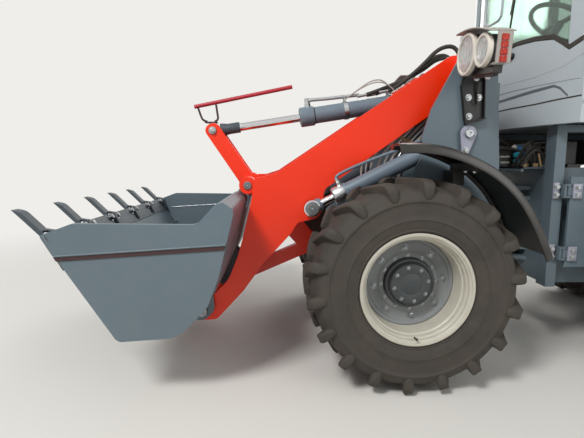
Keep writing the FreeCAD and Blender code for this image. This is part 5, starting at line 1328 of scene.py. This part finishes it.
class LOADER_OT_frame_trim(bpy.types.Operator):
    """Valve gear, hoses over the pivot, hatch hinges, tread studs and filler caps"""

    bl_idname = "loader.frame_trim"
    bl_label = "Frame trim"

    def execute(self, context):
        # Steering valve over the pivot: a block on a shelf, with capped ports and bright spool rods
        boxes("valve_shelf", [((-256, -92), (-350, 350), (1122, 1132), 1.5),
                              ((-262, -250), (-350, 350), (1096, 1146), 1.5),
                              ((-112, -92), (-350, 350), (1104, 1132), 1.5)], "slate_enamel", "rear_frame")
        boxes("steer_valve", [((-215, -95), (-60, 200), (1132, 1236), 4),
                              ((-200, -110), (-140, -60), (1132, 1200), 4),
                              ((-190, -120), (200, 224), (1150, 1222), 4)], "valve_enamel", "rear_frame")
        for index, (x, y, z, radius, cap) in enumerate((
                (-128, 224, 1206, 19, "cap_cyan"), (-128, 224, 1166, 17, "cap_cyan"),
                (-178, 224, 1212, 16, "cap_blue"), (-178, 224, 1168, 11, "visor_nylon"),
                (-400, 190, 1262, 20, "cap_blue"), (-395, 190, 1192, 20, "cap_cyan"))):
            profile = [(0, 0), (0, radius), (26, radius), (30, radius - 3), (30, 0)]
            lathe(f"valve_cap_{index}", profile, 20, (x * MM, y * MM, z * MM), (0, 1, 0), cap, "rear_frame",
                  35)
        lathe("valve_breather", [(0, 0), (0, 17), (24, 17), (34, 9), (36, 0)], 24, (-0.150, 0.160, 1.236),
              (0, 0, 1), "lamp_ring", "rear_frame", 50)
        lathe("valve_top_cap", [(0, 0), (0, 22), (30, 22), (34, 19), (34, 0)], 24, (-0.195, 0.130, 1.236),
              (0, 0, 1), "cap_blue", "rear_frame", 35)
        work = bmesh.new()
        for y, z in ((205, 1196), (205, 1160), (150, 1196)):
            rod(work, (-96, y, z), (-42, y, z), 6, 12)
        piece("valve_spools", to_mesh("spools", work), "lamp_ring", "rear_frame", smooth=40)
        # Hoses from the valve over the pivot into the tower, and back to the pump
        across = ("rear_frame", "front_frame", (PIVOT_X - 0.09, 0, 1.2), (PIVOT_X + 0.20, 0, 1.2))
        for index, (y, z, rise) in enumerate(((-110, 1180, 60), (-40, 1205, 85), (30, 1190, 52),
                                              (90, 1215, 96), (165, 1185, 70), (215, 1210, 40))):
            line = [(-190, y, z), (-150, y, z + rise * 0.6), (-80, y * 0.95, z + rise),
                    (10, y * 0.85, z + rise), (90, y * 0.75, z + 20), (150, y * 0.7, z - 10),
                    (205, y * 0.7, z - 4)]
            hose(f"pivot_hose_{index}", line, 10 if index % 2 else 12, "hose_rubber", None,
                 4, across)
        for index, (y, z) in enumerate(((-90, 1150), (60, 1160), (120, 1205), (185, 1150))):
            line = [(-205, y, z), (-262, y + 26, z + 26), (-300, y + 34, z + 70), (-345, y + 20, z + 66),
                    (-380, y, z + 20)]
            hose(f"valve_hose_{index}", line, 11, "hose_rubber", "rear_frame", 4)
        for index, (y, drop) in enumerate(((300, 40), (250, 90), (340, 10))):
            line = [(-250, y - 40, 1150), (-225, y, 1200 + drop), (-170, y + 20, 1240 + drop * 0.5),
                    (-120, y + 10, 1180), (-100, y, 1140)]
            hose(f"shelf_hose_{index}", line, 9, "hose_rubber", "rear_frame", 4)
        work = bmesh.new()
        for x, y in ((-205, 322), (-160, 300), (-132, 326)):
            block(work, (x, x + 28), (y, y + 16), (1132, 1156), 3)
        rod(work, (-214, 352, 1136), (-190, 356, 1212), 6, 8)
        piece("hose_ties", to_mesh("ties", work), "pipe_block_tan", "rear_frame")
        # Painted shade: a dark sheet on the right side of the pump bay, standing in for the shadowed hoses
        # and underside behind it, with its fixings
        guard = [(-1120, 1146), (-240, 1146), (-240, 1392), (-1120, 1392)]
        plate_piece("pump_guard_right", [(guard, -404, -400)], "valve_enamel", "rear_frame",
                    bevel=1.0)
        places = [((x, -404, z), (0, -1, 0), 0.8) for x in (-1090, -800, -515, -265) for z in (1166, 1345)]
        fasteners("pump_guard_bolts_right", places, "zinc_plate", "rear_frame")
        # Hatch hinges: a bolted leaf on the post and one on the hatch
        for side, sign in SIDES:
            post, leaf = [], []
            for z in HINGE_Z:
                post.append(([(-250, z - 46), (-214, z - 46), (-214, z + 46), (-250, z + 46)], 474 * sign,
                             488 * sign))
                leaf.append(([(-352, z - 42), (-298, z - 42), (-298, z + 42), (-352, z + 42)], 523 * sign,
                             531 * sign))
            plate_piece("hinge_post_" + side, post, "hinge_enamel", "rear_frame", bevel=2.5)
            plate_piece("hinge_leaf_" + side, leaf, "hinge_enamel", "hatch_" + side, bevel=2.5)
            fasteners("hinge_post_bolts_" + side,
                      [((-232, 488 * sign, z + dz), (0, sign, 0), 1.3) for z in HINGE_Z
                       for dz in (-22, 22)], "zinc_plate", "rear_frame")
            fasteners("hinge_leaf_bolts_" + side, [((-325, 531 * sign, z + dz), (0, sign, 0), 1.1)
                                                   for z in HINGE_Z for dz in (-20, 20)], "zinc_plate",
                      "hatch_" + side)
            lathe("hatch_latch_" + side, [(0, 0), (0, 24), (5, 24), (8, 20), (8, 0)], 28,
                  (-0.505, 0.516 * sign, 0.82), (0, sign, 0), "zinc_plate", "hatch_" + side,
                  35)
            # Rows of raised studs on the open step treads
            stud = bmesh.new()
            bmesh.ops.create_cone(stud, cap_ends=True, segments=8, radius1=0.007, radius2=0.005, depth=0.005)
            mesh = to_mesh("stud", stud)
            for index in range(3):
                inner = 610 + 60 * index
                count = int((850 - inner) / 24)
                for column in range(4):
                    row(f"tread_studs_{index}_{column}_{side}", mesh.copy(), count,
                        (STEP_X + 40 * column, inner * sign, 462 + 270 * index), (0, 24 * sign, 0),
                        "slate_enamel", "rear_frame")
            lathe("filler_cap_" + side, [(0, 0), (0, 46), (26, 46), (30, 40), (38, 40), (42, 34), (42, 0)],
                  32, (-0.655, 0.480 * sign, 1.02), (0, 0, 1), "black_moulding", "rear_frame",
                  35)
        return {"FINISHED"}


# Rear face of the counterweight, in millimetres
TAIL_X = -2565


class LOADER_OT_rear_trim(bpy.types.Operator):
    """Lamps, hood furniture and grille backing at the tail"""

    bl_idname = "loader.rear_trim"
    bl_label = "Rear trim"

    def execute(self, context):
        housings = []
        for side, sign in SIDES:
            # Tail lamp: housing with a red and an amber lens
            housings.append(boxes("tail_housing_" + side,
                                  [((TAIL_X - 10, TAIL_X + 4), (486, 630), (876, 964), 4)],
                                  "black_moulding", "rear_frame", sign))
            for label, low, high, colour in (("red", 492, 560, "reflector_red"),
                                             ("amber", 564, 624, "lens_amber")):
                boxes(f"tail_lens_{label}_{side}",
                      [((TAIL_X - 20, TAIL_X - 8), (low, high), (884, 956), 5)], colour, "rear_frame",
                      sign)
            # Work lamp under the roof's rear edge: case, lens and bracket
            centre = (-1.330, 0.490 * sign, 2.652)
            case = [(-4, 0), (-4, 34), (-24, 40), (-44, 44), (-48, 46), (-58, 46), (-58, 41), (-50, 40),
                    (-50, 0)]
            housings.append(lathe("work_lamp_case_" + side, case, 36, centre, (1, 0, 0), "dark_abs",
                                  "rear_frame", 35))
            lens = [(-50, 0), (-50, 40), (-56, 39), (-60, 20), (-61, 0)]
            lathe("work_lamp_lens_" + side, lens, 36, centre, (1, 0, 0), "lamp_lens", "rear_frame",
                  50)
            boxes("work_lamp_bracket_" + side,
                  [((-1352, -1268), (482, 498), (2690, 2702), 1.5),
                   ((-1362, -1346), (440, 540), (2694, 2702), 1.5)], "black_moulding", "rear_frame",
                  sign)
            # Hood: latch, side seam and grab handle
            lathe("hood_latch_" + side, [(0, 0), (0, 30), (5, 30), (8, 26), (8, 12), (14, 12), (14, 0)], 28,
                  (-1.400, 0.500 * sign, 1.150), (0, sign, 0), "zinc_plate", "hood", 35)
            seam = [(-1300, 501, 1240), (-1600, 502, 1240), (-2400, 501, 1240)]
            hose("hood_seam_" + side, seam, 5, "boom_enamel", "hood", 3, sign=sign)
            grab = [(-1420, 501, 1700), (-1420, 530, 1700), (-1480, 536, 1700),
                    (-1540, 530, 1700), (-1540, 501, 1700)]
            hose("hood_grab_" + side, grab, 8, "black_moulding", "hood", 4, sign=sign)
            # Dark gauze behind the side vents
            boxes("vent_gauze_" + side, [((-2200, -1630), (462, 466), (1330, 1620), 1.0)], "dark_abs",
                  "hood", sign)
            # Lifting eye on the counterweight's shoulder
            points = [(px, 560, pz) for px, pz in arc(-2350, 1030, 42, 0, 180, 12, 62)]
            hose("weight_eye_" + side, points, 11, "slate_enamel", "rear_frame", 4, sign=sign)
        for thing in housings:
            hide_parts("rear_lamps")
        # Perforated sheet behind the grille's slats
        bar = bmesh.new()
        block(bar, (-2423, -2421), (-358, 358), (0, 5))
        row("grille_gauze_level", to_mesh("bar", bar), 26, (0, 0, 1134), (0, 0, 12), "dark_abs", "hood")
        bar = bmesh.new()
        block(bar, (-2421, -2419), (0, 5), (1132, 1448))
        row("grille_gauze_upright", to_mesh("bar", bar), 59, (0, -354, 0), (0, 12, 0), "dark_abs", "hood")
        # Ribs of the intake bowl, and the exhaust's clamp and heat shield
        work = bmesh.new()
        for k in range(4):
            rod(work, (-1615, 220, 1944 + 24 * k), (-1615, 220, 1952 + 24 * k), 89, 40)
        piece("intake_ribs", to_mesh("ribs", work), "black_moulding", "hood", smooth=40)
        lathe("exhaust_clamp", [(0, 36), (0, 41), (22, 41), (22, 36)], 40, (-1.695, -0.200, 1.90),
              (0, 0, 1), "zinc_plate", "hood", 35)
        lathe("exhaust_shield", [(0, 40), (0, 46), (150, 46), (150, 40)], 40, (-1.695, -0.200, 1.95),
              (0, 0, 1), "hot_steel", "hood", 35)
        return {"FINISHED"}


# Control lines of the mudguards, from the axle: millimetres ahead and above
FRONT_GUARD = [(116, 696), (10, 710), (-190, 668), (-400, 560), (-562, 372), (-651, 159)]
REAR_GUARD = [(585, 255), (560, 415), (330, 645), (-330, 645), (-600, 395), (-640, 155)]

# Mudguards of one side: name, control line, the axle's X in metres, inner edge and length of the rounded
# tip in millimetres, and body
GUARDS = (
    ("front", FRONT_GUARD, FRONT_X, 520, 190, "front_frame"),
    ("rear", REAR_GUARD, REAR_X, 512, 60, "rear_frame"),
)

# Their outer edge in millimetres
GUARD_OUTER = 920

# Share of a mudguard's width that the rounded corner takes off at the tip
GUARD_CORNER = 0.72

# Section of a mudguard: share of its width from the inner edge, and height over its middle line
GUARD_SECTION = [
    (0.0, -22), (0.004, 0), (0.03, 5), (0.35, 9), (0.75, 8), (0.93, 4), (0.975, -3), (0.99, -14),
    (0.995, -28), (1.0, -34), (0.998, -42), (0.985, -44), (0.972, -38), (0.975, -28), (0.968, -12),
    (0.93, -5), (0.75, -1), (0.35, 0), (0.035, -4), (0.015, -22),
]


def guard_mesh(name, controls, axle_x, inner, outer, sign, tip):
    """A mudguard swept along a smooth line over the wheel, its inner corner rounded off over the tip."""
    controls = [(axle_x + ahead * MM, 0.0, TYRE_R + above * MM) for ahead, above in controls]
    line = [vert.co.copy() for vert in swept(name, controls, GUARD_STEPS).vertices]
    work = bmesh.new()
    rings = []
    for index, spot in enumerate(line):
        along = line[min(index + 1, len(line) - 1)] - line[max(index - 1, 0)]
        away = Vector((along.z, 0, -along.x)).normalized()
        if away.dot(spot - Vector((axle_x, 0, TYRE_R))) < 0:
            away.negate()
        near = max(0.0, 1.0 - (spot - line[0]).length / (tip * MM))
        edge = inner + (outer - inner) * GUARD_CORNER * (1.0 - math.sqrt(1.0 - near * near))
        rings.append([work.verts.new(spot + away * height * MM
                                     + Vector((0, (edge + (outer - edge) * share) * MM * sign, 0)))
                      for share, height in GUARD_SECTION])
    skin(work, rings)
    return to_mesh(name, work)


class LOADER_OT_mudguards(bpy.types.Operator):
    """Moulded mudguards with rolled rims on their stays"""

    bl_idname = "loader.mudguards"
    bl_label = "Mudguards"

    def execute(self, context):
        for side, sign in SIDES:
            for label, controls, x, inner, tip, body in GUARDS:
                mesh = guard_mesh("guard", controls, x, inner, GUARD_OUTER, sign, tip)
                guard = piece(f"mudguard_{label}_{side}", mesh, "black_moulding", body, 40)
                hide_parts(f"{label}_fenders")
            front = boxes("mudguard_stay_front_" + side,
                          [((365, 425), (475, 620), (1040, 1118), 3),
                           ((375, 415), (540, 860), (1118, 1156), 3)], "black_moulding", "front_frame",
                          sign)
            rear = boxes("mudguard_stay_rear_" + side,
                         [((-804, -766), (385, 560), (822, 868), 3),
                          ((-2165, -1998), (572, 622), (722, 780), 3)], "black_moulding", "rear_frame",
                         sign)
            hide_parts("front_fenders")
            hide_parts("rear_fenders")
            places = [((395, y * sign, 1118), (0, 0, -1), 0.9) for y in (700, 800)]
            fasteners("mudguard_bolts_" + side, places, "zinc_plate", "front_frame")
        return {"FINISHED"}


def seen_ray(tree):
    """1 for rays from the camera, straight, mirrored or through glass; 0 for light that falls on things."""
    path = add(tree, "ShaderNodeLightPath")
    either = both_of(tree, "MAXIMUM", path.outputs["Is Camera Ray"], path.outputs["Is Glossy Ray"])
    return both_of(tree, "MAXIMUM", either.outputs[0], path.outputs["Is Transmission Ray"]).outputs[0]


# Half the floor's width in metres
FLOOR_REACH = 60.0

# Camera: place in metres, focal length and sensor width in millimetres, and its right, up and back directions
CAMERA_AT = (1.345, 2.85, 1.163)
CAMERA_LENS = 25.89
CAMERA_SENSOR = 36.0
CAMERA_AXES = (
    (-0.9996634, 0.02594383, 0.0), (-0.00348896, -0.13443621, 0.99091611),
    (0.02570816, 0.99058257, 0.13448147),
)


class LOADER_OT_stage(bpy.types.Operator):
    """Pale studio floor, soft lamps and the camera"""

    bl_idname = "loader.stage"
    bl_label = "Stage"

    def execute(self, context):
        scene = bpy.context.scene
        scene.view_settings.view_transform = "Standard"
        # Floor: pale matt concrete paint
        tree, surface, where = begin("studio_floor", Roughness=0.9, IOR=1.45)
        cloud = noise(tree, where.outputs["Object"], 0.6, 6.0)
        tone = mixed(tree, cloud.outputs["Fac"], linear("#DEDBD4"), linear("#D6D3CC"))
        tree.links.new(tone.outputs[MIX_OUT], surface.inputs["Base Color"])
        # Away from the machine the floor runs out into the pale backdrop
        seen = seen_ray(tree)
        away = add(tree, "ShaderNodeVectorMath", {0: where.outputs["Object"]}, operation="LENGTH")
        fade = remap(tree, away.outputs["Value"], 2.2, 7.5, 0.0, 1.0, interpolation_type="SMOOTHSTEP")
        share = both_of(tree, "MULTIPLY", seen, fade.outputs["Result"])
        pale = add(tree, "ShaderNodeEmission", {"Color": linear(BACKDROP), "Strength": 1.0})
        both = add(tree, "ShaderNodeMixShader", {0: share.outputs[0], 1: surface.outputs["BSDF"],
                                                 2: pale.outputs["Emission"]})
        output = next(node for node in tree.nodes if node.type == "OUTPUT_MATERIAL")
        tree.links.new(both.outputs[0], output.inputs["Surface"])
        mesh = bpy.data.meshes.new("floor")
        corners = [(x * FLOOR_REACH, y * FLOOR_REACH, 0) for x, y in ((-1, -1), (1, -1), (1, 1), (-1, 1))]
        mesh.from_pydata(corners, [], [(0, 1, 2, 3)])
        floor = placed("studio_floor", mesh)
        finish([floor], "studio_floor")
        world = bpy.data.worlds.new("studio")
        world.use_nodes = True
        tree = world.node_tree
        tree.nodes.clear()
        eye = seen_ray(tree)
        lit = add(tree, "ShaderNodeBackground", {"Color": linear("#F2F4F8"), "Strength": 0.5})
        seen = add(tree, "ShaderNodeBackground", {"Color": linear(BACKDROP), "Strength": 1.0})
        both = add(tree, "ShaderNodeMixShader", {0: eye, 1: lit.outputs[0], 2: seen.outputs[0]})
        add(tree, "ShaderNodeOutputWorld", {"Surface": both.outputs[0]})
        scene.world = world
        # Key from the upper left behind the camera, fill from the right, rim from behind
        for name, at, aim, watts, size in (
                ("key", (4.5, 5.0, 6.5), (0.4, 0.0, 0.8), 480, 1.8),
                ("fill", (-4.5, 5.5, 3.5), (-0.2, 0.0, 1.0), 130, 4.0),
                ("back", (-2.0, -6.0, 5.5), (0.0, 0.0, 1.0), 220, 4.0)):
            data = bpy.data.lights.new(name, "AREA")
            data.energy = watts
            data.size = size
            lamp = placed(name, data)
            lamp.location = at
            lamp.rotation_euler = (Vector(aim) - Vector(at)).to_track_quat("-Z", "Y").to_euler()
        data = bpy.data.cameras.new("camera")
        data.sensor_width = CAMERA_SENSOR
        data.lens = CAMERA_LENS
        camera = placed("camera", data)
        camera.matrix_world = Matrix.Translation(CAMERA_AT) @ Matrix(CAMERA_AXES).transposed().to_4x4()
        scene.camera = camera
        return {"FINISHED"}


OPERATORS = (
    LOADER_OT_stage, LOADER_OT_finishes, LOADER_OT_tyres, LOADER_OT_rims, LOADER_OT_bucket_trim,
    LOADER_OT_boom_trim, LOADER_OT_cylinder_trim, LOADER_OT_headlamps, LOADER_OT_cab_trim, LOADER_OT_seat,
    LOADER_OT_frame_trim, LOADER_OT_rear_trim, LOADER_OT_mudguards,
)


class LOADER_PT_panel(bpy.types.Panel):
    """Buttons for each group of pieces"""

    bl_idname = "LOADER_PT_panel"
    bl_label = "Wheel loader"
    bl_space_type = "VIEW_3D"
    bl_region_type = "UI"
    bl_category = "Loader"

    def draw(self, context):
        sizes = context.scene.loader_sizes
        for name in ("lugs", "wheel_nuts", "hose_radius", "boom_colour"):
            self.layout.prop(sizes, name)
        for operator in OPERATORS:
            self.layout.operator(operator.bl_idname)


CLASSES = (LoaderSizes,) + OPERATORS + (LOADER_PT_panel,)


def register():
    for item in CLASSES:
        bpy.utils.register_class(item)
    bpy.types.Scene.loader_sizes = bpy.props.PointerProperty(type=LoaderSizes)


def unregister():
    del bpy.types.Scene.loader_sizes
    for item in reversed(CLASSES):
        bpy.utils.unregister_class(item)


def main():
    register()
    for operator in OPERATORS:
        group, verb = operator.bl_idname.split(".")
        getattr(getattr(bpy.ops, group), verb)()


if __name__ == "__main__":
    main()
